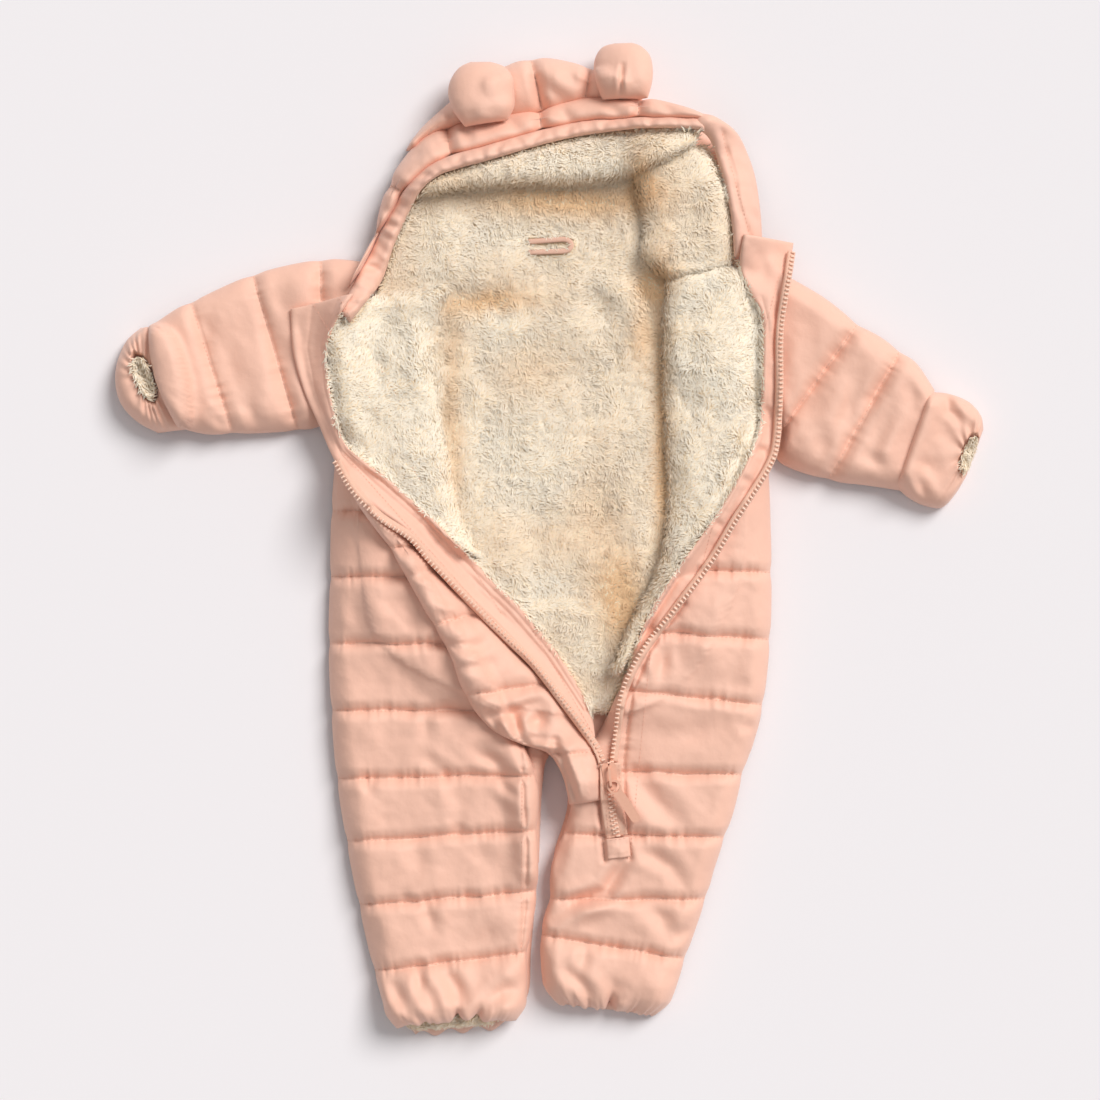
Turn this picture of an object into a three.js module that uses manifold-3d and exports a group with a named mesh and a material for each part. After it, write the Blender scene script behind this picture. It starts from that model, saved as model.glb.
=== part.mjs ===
import * as THREE from 'three';
import { mergeVertices } from 'three/addons/utils/BufferGeometryUtils.js';
import Module from 'manifold-3d';

// A padded baby snowsuit with a hood, laid open on its back.
// Millimetres. The table is z = 0, the hood points along +Y and the sewn front faces +Z.
// Left and right are those of someone looking down at the front.

const GAP = 0.55;             // clearance where one piece lies on another
const CELL = 2;               // spacing of the height grid that pieces are laid on
const HALF_WIDTH = 360;       // the height grid reaches this far to each side
const HALF_LENGTH = 400;      // and this far up and down
const DRAPE = 1.1;            // steepest fall of a piece over the edge of what it covers
const TALLEST = 48;           // no pile of pieces is higher than this
const CLOSE = 0.02;           // a facet this near its clearance is left alone
const BACK_INSET = 7;         // back panels stop this far inside the outline

const SHELL_PAD = 12;         // quilted shell with its wadding, between stitch lines
const SHELL_SEAM = 4.5;       // the same at a seam
const SHELL_STITCH = 6;       // the same at a stitch line
const BACK_PAD = 9;           // back shell, pressed by the weight on it
const PILE = 7;               // curly fleece lining
const FACING = 2.4;           // plain woven facing strips
const CENTRE_GAP = 0.3;       // half the gap at the centre back seam

const finish = (colour, roughness, metalness = 0) =>
  new THREE.MeshStandardMaterial({ color: colour, roughness, metalness });
const SHELL = finish(0xf0bfa6, 0.72);
const FLEECE = finish(0xe9dcc3, 0.95);
const TAPE = finish(0xe6ac95, 0.8);
const ENAMEL = finish(0xd9987f, 0.4, 0.3);

const wasm = await Module();
wasm.setup();
const suit = new THREE.Group();

// The bed remembers the height of everything laid so far.
const bedWide = Math.ceil((2 * HALF_WIDTH) / CELL);
const bedLong = Math.ceil((2 * HALF_LENGTH) / CELL);
const bed = new Float32Array(bedWide * bedLong);

// Height that a piece has to clear at one place, spread by reach and falling away beyond it.
function heightUnder(x, y, reach, fall = DRAPE) {
  const column = (x + HALF_WIDTH) / CELL;
  const row = (y + HALF_LENGTH) / CELL;
  const cells = Math.ceil((reach + TALLEST / fall) / CELL);
  const range = (middle, count) => [
    Math.max(0, Math.floor(middle) - cells),
    Math.min(count - 1, Math.ceil(middle) + cells),
  ];
  const [i0, i1] = range(column, bedWide);
  const [j0, j1] = range(row, bedLong);
  let best = 0;
  for (let j = j0; j <= j1; j++) {
    for (let i = i0; i <= i1; i++) {
      const height = bed[j * bedWide + i];
      if (height <= best) continue;
      const away = Math.hypot(i + 0.5 - column, j + 0.5 - row) * CELL;
      best = Math.max(best, height + GAP - fall * Math.max(0, away - reach));
    }
  }
  return best;
}

// Cells whose middles lie in one triangle, with the shares of its three corners there.
function* cellsUnder(a, b, c) {
  const area = (b.x - a.x) * (c.y - a.y) - (c.x - a.x) * (b.y - a.y);
  if (Math.abs(area) < 1e-6) return;
  const range = (low, high, half) => [
    Math.floor((low + half) / CELL - 0.5),
    Math.ceil((high + half) / CELL - 0.5),
  ];
  const [i0, i1] = range(Math.min(a.x, b.x, c.x), Math.max(a.x, b.x, c.x), HALF_WIDTH);
  const [j0, j1] = range(Math.min(a.y, b.y, c.y), Math.max(a.y, b.y, c.y), HALF_LENGTH);
  for (let j = j0; j <= j1; j++) {
    for (let i = i0; i <= i1; i++) {
      const x = (i + 0.5) * CELL - HALF_WIDTH;
      const y = (j + 0.5) * CELL - HALF_LENGTH;
      const v = ((x - a.x) * (c.y - a.y) - (c.x - a.x) * (y - a.y)) / area;
      const w = ((b.x - a.x) * (y - a.y) - (x - a.x) * (b.y - a.y)) / area;
      if (v >= 0 && w >= 0 && v + w <= 1) yield [i, j, 1 - v - w, v, w];
    }
  }
}

// Shares of the three corners at places spread evenly over one triangle and along its edges.
function* shares(a, b, c) {
  const longest = Math.max(a.distanceTo(b), b.distanceTo(c), c.distanceTo(a));
  const steps = Math.max(2, Math.ceil(longest / CELL));
  for (let p = 0; p <= steps; p++) {
    for (let q = 0; q <= steps - p; q++) yield [p / steps, q / steps, (steps - p - q) / steps];
  }
}

// Greatest height in the cell at one place and the eight round it.
function heightNear(x, y) {
  const i = Math.floor((x + HALF_WIDTH) / CELL);
  const j = Math.floor((y + HALF_LENGTH) / CELL);
  let height = 0;
  for (let dj = -1; dj <= 1; dj++) {
    for (let di = -1; di <= 1; di++) height = Math.max(height, bed[(j + dj) * bedWide + i + di]);
  }
  return height;
}

// Visits places all over an underside, with the room that each has above what lies below it.
function overFacets(points, faces, visit) {
  for (let k = 0; k < faces.length; k += 3) {
    const [a, b, c] = [points[faces[k]], points[faces[k + 1]], points[faces[k + 2]]];
    for (const [u, v, w] of shares(a, b, c)) {
      const height = heightNear(u * a.x + v * b.x + w * c.x, u * a.y + v * b.y + w * c.y);
      if (height === 0) continue;
      visit(u * a.z + v * b.z + w * c.z - height - GAP, [[a, u], [b, v], [c, w]]);
    }
  }
}

// Lifts the corners of an underside until no facet of it cuts into what lies below,
// then lowers the whole piece until it touches.
function settle(points, faces, nestle) {
  const passes = 8;
  for (let pass = 0; pass < passes; pass++) {
    let worst = 0;
    overFacets(points, faces, (room, corners) => {
      if (room >= 0) return;
      const squares = corners.reduce((sum, [, share]) => sum + share * share, 0);
      corners.forEach(([corner, share]) => { corner.z -= (room * share) / squares; });
      worst = Math.min(worst, room);
    });
    if (worst > -CLOSE) break;
  }
  let spare = Math.min(...points.map((point) => point.z));
  let touches = false;
  overFacets(points, faces, (room) => {
    touches = true;
    spare = Math.min(spare, room);
  });
  if (touches) points.forEach((point) => { point.z -= Math.max(0, spare) + nestle; });
}

function press(geometry) {
  const place = geometry.getAttribute('position');
  const index = geometry.getIndex();
  const corner = (k) => new THREE.Vector3().fromBufferAttribute(place, index ? index.getX(k) : k);
  const count = index ? index.count : place.count;
  for (let k = 0; k < count; k += 3) {
    const [a, b, c] = [corner(k), corner(k + 1), corner(k + 2)];
    for (const [i, j, u, v, w] of cellsUnder(a, b, c)) {
      const cell = j * bedWide + i;
      bed[cell] = Math.max(bed[cell], u * a.z + v * b.z + w * c.z);
    }
  }
}

// Smooth curve through the values of one column of a table.
function along(rows, column, t) {
  const last = rows.length - 1;
  const i = Math.min(last - 1, Math.floor(t));
  const f = t - i;
  const value = (k) => rows[THREE.MathUtils.clamp(k, 0, last)][column];
  const [p, a, b, q] = [value(i - 1), value(i), value(i + 1), value(i + 2)];
  const enter = (b - p) / 2;
  const leave = (q - a) / 2;
  return (2 * f ** 3 - 3 * f ** 2 + 1) * a + (f ** 3 - 2 * f ** 2 + f) * enter
    + (-2 * f ** 3 + 3 * f ** 2) * b + (f ** 3 - f ** 2) * leave;
}

// Rows of a table: one edge point, the opposite edge point, and 1 where a stitch line crosses.
const table = (rows) => rows.map(([ax, ay, bx, by, stitch = 0]) => ({ ax, ay, bx, by, stitch }));

const quarterRound = (distance, radius) => {
  const near = THREE.MathUtils.clamp(distance / radius, 0, 1);
  return Math.sqrt(1 - (1 - near) ** 2);
};

// A piece of cloth between two edges, laid on everything under it.
function layCloth(name, material, rows, {
  across = 8,                 // facets from edge to edge
  stops = [0, 0.25, 0.75],    // places between two rows that get a line of points
  pad = SHELL_PAD,
  seam = SHELL_SEAM,
  stitch = SHELL_STITCH,
  round = 16,                 // width of the rounding at the edges
  valley = 13,                // half width of the trough at a stitch line
  inset = [0, 0],             // how far each edge is drawn in
  soft = [false, false],      // whether the first and last row are rounded too
  lift = [0, 0],              // how far each edge is held above what lies under it
  reach = 5,
  fall = DRAPE,               // steepest fall over the edge of what it covers
  nestle = 0,                 // how much closer than GAP it sits
  gathers = 0,                // waves from edge to edge
  gatherDepth = 0,
  puckers = 0,                // waves along the piece, between each two rows
  closed = false,
} = {}) {
  const spans = closed ? rows.length : rows.length - 1;
  const ring = closed ? [...rows.slice(-1), ...rows, ...rows.slice(0, 2)] : rows;
  const shift = closed ? 1 : 0;
  const lines = [];
  const stitched = (s) => rows[s].stitch || rows[(s + 1) % rows.length].stitch;
  const plainStops = stops.length > 2 && !puckers ? [0, 0.5] : stops;
  for (let s = 0; s < spans; s++) {
    (stitched(s) ? stops : plainStops).forEach((stop) => lines.push(s + stop));
  }
  if (!closed) lines.push(spans);

  const centre = (t) => new THREE.Vector2(
    (along(ring, 'ax', t + shift) + along(ring, 'bx', t + shift)) / 2,
    (along(ring, 'ay', t + shift) + along(ring, 'by', t + shift)) / 2);
  const travelled = lines.map(() => 0);
  for (let k = 1; k < lines.length; k++) {
    travelled[k] = travelled[k - 1] + centre(lines[k]).distanceTo(centre(lines[k - 1]));
  }
  const total = travelled[travelled.length - 1];

  const bottom = [];
  const thickness = [];
  lines.forEach((t, k) => {
    const a = new THREE.Vector2(along(ring, 'ax', t + shift), along(ring, 'ay', t + shift));
    const b = new THREE.Vector2(along(ring, 'bx', t + shift), along(ring, 'by', t + shift));
    const width = a.distanceTo(b);
    const s = Math.min(spans - 1, Math.floor(t));
    const f = t - s;
    const length = centre(s + 1).distanceTo(centre(s)) || 1;
    const rowA = rows[s];
    const rowB = rows[(s + 1) % rows.length];
    const dip = (distance) => (1 - Math.min(1, distance / valley)) ** 1.6;
    const trough = Math.max(rowA.stitch * dip(f * length), rowB.stitch * dip((1 - f) * length));
    let ends = 1;
    if (!closed && soft[0]) ends *= quarterRound(travelled[k], round);
    if (!closed && soft[1]) ends *= quarterRound(total - travelled[k], round);
    const swell = 1 + (puckers ? gatherDepth * Math.cos(2 * Math.PI * puckers * t) : 0);
    for (let i = 0; i <= across; i++) {
      const even = i / across;
      const u = (1 - Math.cos(Math.PI * even)) / 2;
      const drawn = (inset[0] + u * (width - inset[0] - inset[1])) / width;
      const x = a.x + (b.x - a.x) * drawn;
      const y = a.y + (b.y - a.y) * drawn;
      const edge = quarterRound(Math.min(u, 1 - u) * width, Math.min(round, width / 2));
      const wave = 1 + (gathers ? gatherDepth * Math.cos(2 * Math.PI * gathers * even) : 0);
      const filled = 1 - (1 - stitch / pad) * trough;
      const thick = seam + (pad - seam) * edge * ends * filled * wave * swell;
      const base = heightUnder(x, y, reach, fall) + lift[0] * (1 - u) + lift[1] * u;
      bottom.push(new THREE.Vector3(x, y, base));
      thickness.push(thick);
    }
  });
  settle(bottom, gridFaces(across + 1, lines.length, closed), nestle);
  const top = bottom.map((point, k) => new THREE.Vector3(point.x, point.y, point.z + thickness[k]));
  const geometry = slab(top, bottom, across + 1, lines.length, closed);
  if (layerBeingLaid) layerBeingLaid.push(geometry);
  else press(geometry);
  return add(name, material, geometry);
}

// Pieces of one layer lie side by side, so none of them is laid on another.
let layerBeingLaid = null;
function layTogether(lay) {
  layerBeingLaid = [];
  lay();
  layerBeingLaid.forEach(press);
  layerBeingLaid = null;
}

// Triangles of a sheet of points, in lines of the same length.
function gridFaces(perLine, lineCount, closed) {
  const faces = [];
  for (let j = 0; j < (closed ? lineCount : lineCount - 1); j++) {
    const here = j * perLine;
    const next = ((j + 1) % lineCount) * perLine;
    for (let i = 0; i < perLine - 1; i++) {
      faces.push(here + i, here + i + 1, next + i + 1, here + i, next + i + 1, next + i);
    }
  }
  return faces;
}

// Closed body between two sheets of points.
function slab(top, bottom, perLine, lineCount, closed) {
  const points = [...top, ...bottom];
  const faces = gridFaces(perLine, lineCount, closed);
  const below = top.length;
  const underside = faces.map((k) => k + below).reverse();
  faces.push(...underside);
  const quad = (p, q, r, s) => faces.push(p, q, r, p, r, s);
  for (let j = 0; j < (closed ? lineCount : lineCount - 1); j++) {
    const here = j * perLine;
    const next = ((j + 1) % lineCount) * perLine;
    quad(here, next, below + next, below + here);
    const end = perLine - 1;
    quad(here + end, below + here + end, below + next + end, next + end);
  }
  if (!closed) {
    const last = (lineCount - 1) * perLine;
    for (let i = 0; i < perLine - 1; i++) {
      quad(i, below + i, below + i + 1, i + 1);
      quad(last + i, last + i + 1, below + last + i + 1, below + last + i);
    }
  }
  const geometry = new THREE.BufferGeometry().setFromPoints(points);
  geometry.setIndex(faces);
  return faceOutward(geometry);
}

// Turns every face over when the body was wound inside out.
function faceOutward(geometry) {
  const place = geometry.getAttribute('position');
  const index = geometry.getIndex();
  const [a, b, c] = [new THREE.Vector3(), new THREE.Vector3(), new THREE.Vector3()];
  let volume = 0;
  for (let k = 0; k < index.count; k += 3) {
    a.fromBufferAttribute(place, index.getX(k));
    b.fromBufferAttribute(place, index.getX(k + 1));
    c.fromBufferAttribute(place, index.getX(k + 2));
    volume += a.dot(b.cross(c));
  }
  if (volume < 0) index.array.reverse();
  return geometry;
}

function add(name, material, geometry) {
  geometry.computeVertexNormals();
  const mesh = new THREE.Mesh(geometry, material);
  mesh.name = name;
  suit.add(mesh);
  return mesh;
}

// A strip of even width along a line of points.
function ribbonRows(points, width) {
  return points.map(([x, y], k) => {
    const before = points[Math.max(0, k - 1)];
    const after = points[Math.min(points.length - 1, k + 1)];
    const length = Math.hypot(after[0] - before[0], after[1] - before[1]);
    const sideX = (-(after[1] - before[1]) / length) * (width / 2);
    const sideY = ((after[0] - before[0]) / length) * (width / 2);
    return { ax: x + sideX, ay: y + sideY, bx: x - sideX, by: y - sideY, stitch: 0 };
  });
}

// Rows round an oval, from an inner edge to an outer one.
function ovalRows({ x, y, long, short, turn, band, count }) {
  const rows = [];
  for (let k = 0; k < count; k++) {
    const angle = (2 * Math.PI * k) / count;
    const place = (grow) => {
      const p = new THREE.Vector2((short + grow) * Math.cos(angle), (long + grow) * Math.sin(angle));
      return p.rotateAround(new THREE.Vector2(), THREE.MathUtils.degToRad(turn));
    };
    const inner = place(-band / 2);
    const outer = place(band / 2);
    rows.push({ ax: x + inner.x, ay: y + inner.y, bx: x + outer.x, by: y + outer.y, stitch: 0 });
  }
  return rows;
}

// Chords of an oval pad, from its foot to its crown. The first and last are short, not points.
function padRows({ x, y, wide, tall, turn, count }) {
  const blunt = 0.35;
  const squareness = 2.4;
  const rows = [];
  for (let k = 0; k < count; k++) {
    const rise = -Math.cos((Math.PI * (k + blunt)) / (count - 1 + 2 * blunt));
    const half = Math.sqrt(Math.max(0, 1 - Math.abs(rise) ** squareness));
    const place = (side) => new THREE.Vector2(side * half * wide / 2, rise * tall / 2)
      .rotateAround(new THREE.Vector2(), THREE.MathUtils.degToRad(turn));
    const [start, end] = [place(-1), place(1)];
    rows.push({ ax: x + start.x, ay: y + start.y, bx: x + end.x, by: y + end.y, stitch: 0 });
  }
  return rows;
}

// Back of the suit: one leg and half the body on each side of the centre back seam.
// Columns: outer edge x y, inner edge x y.
const BACK_LEFT = table([
  [-141.5, 204, -CENTRE_GAP, 204],
  [-150, 130, -CENTRE_GAP, 130],
  [-157.5, 66, -CENTRE_GAP, 66],
  [-161, 10, -CENTRE_GAP, 10],
  [-162, -55, -CENTRE_GAP, -55],
  [-162, -116, -CENTRE_GAP, -118],
  [-158, -160, -2.2, -148],
  [-150, -218, -8, -206],
  [-139, -266, -10, -255],
  [-128, -313, -14, -302],
  [-121, -342, -17, -336],
  [-106, -364, -38, -358],
]);
const BACK_RIGHT = table([
  [CENTRE_GAP, 204, 171, 204],
  [CENTRE_GAP, 130, 170, 130],
  [CENTRE_GAP, 66, 168, 64],
  [CENTRE_GAP, 10, 163, 8],
  [CENTRE_GAP, -55, 163, -57],
  [CENTRE_GAP, -118, 156, -116],
  [2.2, -146, 148, -150],
  [13, -190, 136, -198],
  [3, -230, 122, -236],
  [0, -265, 112, -270],
  [-6, -300, 99, -306],
  [-4, -326, 90, -333],
  [10, -341, 76, -349],
]);
const backPanel = { pad: BACK_PAD, seam: 3.5, stitch: BACK_PAD, across: 6, stops: [0, 0.5], round: 14 };

// Undersides of the sleeves. Columns: upper edge x y, lower edge x y, stitch line.
const SLEEVE_LEFT = table([
  [-135.8, 205, -150.6, 84],
  [-168, 207, -166, 84, 1],
  [-218, 196, -185, 81, 1],
  [-265, 174, -234, 79, 1],
  [-294, 156, -272, 80],
  [-312, 140, -296, 88],
  [-319, 126, -311, 100],
]);
const SLEEVE_RIGHT = table([
  [164.8, 200, 163.8, 112],
  [200, 180, 166, 96],
  [226, 160, 171, 82, 1],
  [243, 150, 176, 56],
  [257, 140, 206, 46, 1],
  [270, 130, 232, 41],
  [280, 112, 256, 38, 1],
]);
const underSleeve = {
  pad: BACK_PAD, seam: 3.5, stitch: BACK_PAD, across: 6, stops: [0, 0.5], inset: [6, 6],
};

// Back of the hood, under its lining.
const HOOD_BACK = table([
  [-132, 204.5, 146, 204.5],
  [-124, 245, 148, 245],
  [-112, 274, 142, 274],
  [-88, 304, 122, 302],
  [-52, 334, 74, 324],
  [-14, 350, 34, 344],
]);
layTogether(() => {
  layCloth('back_left', SHELL, BACK_LEFT, {
    ...backPanel, inset: [BACK_INSET, 0], soft: [false, true],
  });
  layCloth('back_right', SHELL, BACK_RIGHT, {
    ...backPanel, inset: [0, BACK_INSET], soft: [false, true],
  });
  layCloth('sleeve_left_back', SHELL, SLEEVE_LEFT, { ...underSleeve, soft: [false, true] });
  layCloth('sleeve_right_back', SHELL, SLEEVE_RIGHT, underSleeve);
  layCloth('hood_back', SHELL, HOOD_BACK, {
    ...backPanel, across: 8, inset: [BACK_INSET, BACK_INSET], soft: [false, true],
  });
});

// Fleece over the back, down to the foot of the opening.
const BACK_LINING = table([
  [-120, 204, 134, 204],
  [-136, 130, 142, 130],
  [-140, 50, 142, 50],
  [-138, -20, 140, -20],
  [-122, -75, 118, -75],
  [-60, -112, 92, -110],
  [14, -127, 60, -125],
]);
const HOOD_LINING_BACK = table([
  [-124, 204.4, 138, 204.4],
  [-118, 226, 134, 226],
  [-104, 252, 128, 252],
  [-74, 282, 108, 288],
]);
layTogether(() => {
  layCloth('back_lining', FLEECE, BACK_LINING, {
    pad: PILE, seam: 3, stitch: PILE, across: 8, stops: [0, 0.5], round: 12, soft: [false, true],
  });
  layCloth('hood_lining_back', FLEECE, HOOD_LINING_BACK, {
    pad: PILE + 4, seam: 4, across: 8, stops: [0, 0.5], round: 18, soft: [false, true],
  });
});

// Gusset at the crotch, with a tail down the inside of each leg.
const GUSSET = table([
  [-15, -236, -8, -236],
  [-18, -206, -7, -206],
  [-20, -184, -6, -186],
  [-20, -164, -4, -166],
  [-19, -149, -1, -158],
  [-8, -139, 0, -156],
  [5, -142, 4, -156],
  [13, -160, 8, -168],
  [20, -184, 14, -186],
]);
layCloth('crotch_gusset', SHELL, GUSSET, {
  across: 4, stops: [0, 0.5], pad: 12, seam: 5, round: 7, reach: 3,
});

// Cuffs: a gathered rim round each opening with fleece inside it.
// A mitten flap folds over the left one, and the right one ends a turned-back band.
const cuffRim = {
  seam: 6, across: 3, stops: [0, 0.5], round: 7, reach: 2, closed: true, puckers: 1, gatherDepth: 0.14,
};
const cuffLining = { across: 4, stops: [0, 0.5], seam: 5, round: 8, reach: 2 };
const CUFF_LEFT = { x: -301, y: 117, long: 24, short: 13, turn: 27, band: 11, count: 16 };
const CUFF_RIGHT = { x: 303.5, y: 64, long: 26, short: 10.5, turn: -20, band: 11, count: 16 };
const insideOf = (cuff) => ({
  ...cuff, wide: 2 * cuff.short - cuff.band - 1.4, tall: 2 * cuff.long - cuff.band - 1.4, count: 5,
});

// Fronts of the sleeves.
const SLEEVE_LEFT_FRONT = SLEEVE_LEFT.slice(0, 4);
const sleeveFront = { pad: 14, stitch: 7, across: 8 };
const CUFF_RIGHT_BAND = table([
  [280.6, 112, 256.6, 37.5],
  [287, 109, 266, 30],
  [295.3, 104.5, 277.3, 24.5],
]);
layTogether(() => {
  layCloth('sleeve_left_front', SHELL, SLEEVE_LEFT_FRONT, sleeveFront);
  layCloth('sleeve_right_front', SHELL, SLEEVE_RIGHT, sleeveFront);
  layCloth('cuff_right_band', SHELL, CUFF_RIGHT_BAND, { pad: 21, seam: 8, across: 8, round: 12 });
  layCloth('cuff_right', SHELL, ovalRows(CUFF_RIGHT), { ...cuffRim, pad: 21 });
  layCloth('cuff_right_lining', FLEECE, padRows(insideOf(CUFF_RIGHT)), { ...cuffLining, pad: 12 });
});

layTogether(() => {
  layCloth('cuff_left', SHELL, ovalRows(CUFF_LEFT), { ...cuffRim, pad: 15 });
  layCloth('cuff_left_lining', FLEECE, padRows(insideOf(CUFF_LEFT)), { ...cuffLining, pad: 8 });
});
const MITTEN_FLAP = table([
  [-262.5, 176, -232, 78.5],
  [-280, 167, -254, 79],
  [-292, 157, -273, 84],
]);
layCloth('mitten_flap_left', SHELL, MITTEN_FLAP, { pad: 10, across: 8, soft: [false, true], round: 10 });

// Lining that shows at the left hem.
const HEM_LINING = table([
  [-112, -344, -30, -340],
  [-110, -352, -32, -349],
  [-102, -361, -42, -357],
]);
layCloth('hem_lining_left', FLEECE, HEM_LINING, {
  pad: 9, seam: 5, across: 6, stops: [0, 0.5], round: 8, reach: 3,
});

// Fronts of the body and legs. Columns: left edge x y, right edge x y, stitch line.
const FRONT_LEFT = table([
  [-158, 60, -140, 58],
  [-161, 22, -124, 22, 1],
  [-162, -26, -88, -26, 1],
  [-163, -75, -58, -75, 1],
  [-161, -124, -42, -122, 1],
  [-157, -174, -21, -170, 1],
  [-150, -220, -15, -211, 1],
  [-141, -267, -11, -255, 1],
  [-130, -315, -16, -301, 1],
  [-123, -338, -17, -331],
]);
const FRONT_RIGHT = table([
  [150, 66, 169, 64],
  [122, 22, 164, 20],
  [90, -21, 163, -23, 1],
  [66, -66, 162, -72, 1],
  [50, -108, 157, -120, 1],
  [34, -142, 150, -148],
  [12, -156, 146, -159],
  [11, -168, 142, -171, 1],
  [15, -194, 135, -199],
  [9, -214, 129, -217, 1],
  [1, -238, 121, -241],
  [-1, -262, 115, -262, 1],
  [-7, -288, 100, -306, 1],
  [-6, -319, 91, -333],
]);

// Elasticated hems, gathered from side to side.
const HEM_LEFT = table([
  [-123, -338.4, -17, -331.4],
  [-119, -347, -18, -341],
  [-111, -355, -26, -351],
]);
const HEM_RIGHT = table([
  [-6, -319.4, 91, -333.4],
  [-3, -329, 86, -341],
  [8, -340, 75, -350],
]);
const hem = {
  pad: 14, seam: 6, across: 24, stops: [0, 0.5], round: 9, soft: [false, true],
  gathers: 8, gatherDepth: 0.16,
};
const frontPanel = { pad: 15, stitch: 8, across: 9, reach: 6 };
layTogether(() => {
  layCloth('front_left', SHELL, FRONT_LEFT, frontPanel);
  layCloth('front_right', SHELL, FRONT_RIGHT, frontPanel);
  layCloth('hem_left', SHELL, HEM_LEFT, hem);
  layCloth('hem_right', SHELL, HEM_RIGHT, hem);
});

// Left front edge: the shell folds over itself here, outside the zip.
const FRONT_LEFT_EDGE = table([
  [-153, 54, -147, 50],
  [-139, 27, -128, 23],
  [-114, -5, -96, -4, 1],
  [-93, -36, -72, -32],
  [-78, -61, -50, -52, 1],
  [-65, -84, -26, -80],
  [-57, -110, -2, -104, 1],
  [-48, -140, 16, -128],
  [-24, -166, 33, -150],
]);
layCloth('front_left_edge', SHELL, FRONT_LEFT_EDGE, {
  pad: 13, across: 8, round: 12, soft: [true, true],
});

// Fleece side of the two fronts, turned outward.
const openLining = { across: 8, stops: [0, 0.5], soft: [true, true] };
const LINING_LEFT = table([
  [-164, 172, -76, 186],
  [-163, 144, -88, 147],
  [-161, 112, -86, 108],
  [-152, 72, -77, 64],
  [-118, 42, -71, 32],
  [-84, 12, -64, 2],
  [-60, -9, -52, -12],
]);
layCloth('lining_left', FLEECE, LINING_LEFT, { ...openLining, pad: 11, seam: 4, stitch: 11 });
const LINING_RIGHT = table([
  [86, 196, 140, 198],
  [85, 172, 158, 172],
  [83, 139, 158, 139],
  [84, 100, 156, 100],
  [86, 60, 147, 62],
  [86, 15, 120, 16],
  [78, -26, 92, -22],
]);
layCloth('lining_right', FLEECE, LINING_RIGHT, { ...openLining, pad: 16, seam: 4, stitch: 16 });

// Right side of the hood, lying over the neck, and the folded lining under its brim.
const HOOD_LINING_RIGHT = table([
  [88, 193, 132, 202],
  [68, 206, 136, 218],
  [70, 232, 134, 243],
  [64, 256, 126, 268],
  [60, 278, 114, 290],
]);
layCloth('hood_lining_right', FLEECE, HOOD_LINING_RIGHT, {
  ...openLining, pad: 15, seam: 5, stitch: 15, across: 6, soft: [true, false],
});
const HOOD_LINING_TOP = table([
  [-92, 254, -96, 262],
  [-58, 259, -62, 278],
  [-22, 261, -28, 292],
  [18, 262, 14, 302],
  [50, 266, 54, 308],
  [78, 276, 92, 310],
  [104, 288, 114, 304],
]);
layCloth('hood_lining_top', FLEECE, HOOD_LINING_TOP, {
  ...openLining, pad: 13, seam: 5, stitch: 13, across: 6, lift: [9, 0],
});

// Crown of the hood: two rows of quilting, the gathered rim and the right side strip.
// Columns: outer edge x y, inner edge x y, cross stitch.
const HOOD_CROWN = table([
  [-108.5, 285.5, -104, 286.5],
  [-99.5, 296.5, -96.6, 295.3],
  [-86, 309, -79.5, 306, 1],
  [-56, 335, -50, 310.5, 1],
  [-13, 354, -8, 317.5, 1],
  [30, 347, 26, 325.5, 1],
  [70, 330, 68, 325.2, 1],
  [91, 323.5, 89, 320],
]);
const HOOD_BROW = table([
  [-147, 184, -140, 194],
  [-131, 222, -124, 227, 1],
  [-119, 262, -108, 254, 1],
  [-96, 294, -90, 272],
  [-76, 305, -72, 281, 1],
  [-50, 310, -48, 288],
  [-8, 317, -6, 300.5, 1],
  [26, 325, 27, 307.5],
  [66, 325, 64, 308.5, 1],
  [98, 316, 100, 307.5],
  [116, 308, 115, 305],
]);
const HOOD_RIM = table([
  [-153, 166, -145, 158],
  [-140, 193.5, -124, 188],
  [-124, 226.5, -113, 218],
  [-108, 253.5, -97, 250],
  [-90, 271.5, -82, 264],
  [-72, 280.5, -66, 270],
  [-48, 287.5, -44, 276],
  [-6, 300, -2, 289],
  [27, 307, 30, 296],
  [64, 308, 66, 299],
  [100, 307, 100, 300],
]);
layTogether(() => {
  const hoodShell = { pad: 13, seam: 6, across: 5, soft: [true, true] };
  layCloth('hood_crown', SHELL, HOOD_CROWN, { ...hoodShell, round: 13 });
  layCloth('hood_brow', SHELL, HOOD_BROW, { ...hoodShell, round: 9 });
  layCloth('hood_rim', SHELL, HOOD_RIM, {
    pad: 11, seam: 5, across: 4, round: 6, stops: [0, 0.25, 0.5, 0.75], soft: [true, true],
    puckers: 2, gatherDepth: 0.14,
  });
});
const HOOD_SIDE = table([
  [118, 309, 109, 297],
  [138, 297, 118, 288],
  [149, 274, 125, 266],
  [154, 245, 131, 238],
  [156, 214, 134, 206],
]);
layCloth('hood_side_right', SHELL, HOOD_SIDE, {
  pad: 15, seam: 5, across: 5, round: 12, soft: [true, true], nestle: 1.6,
});

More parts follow.
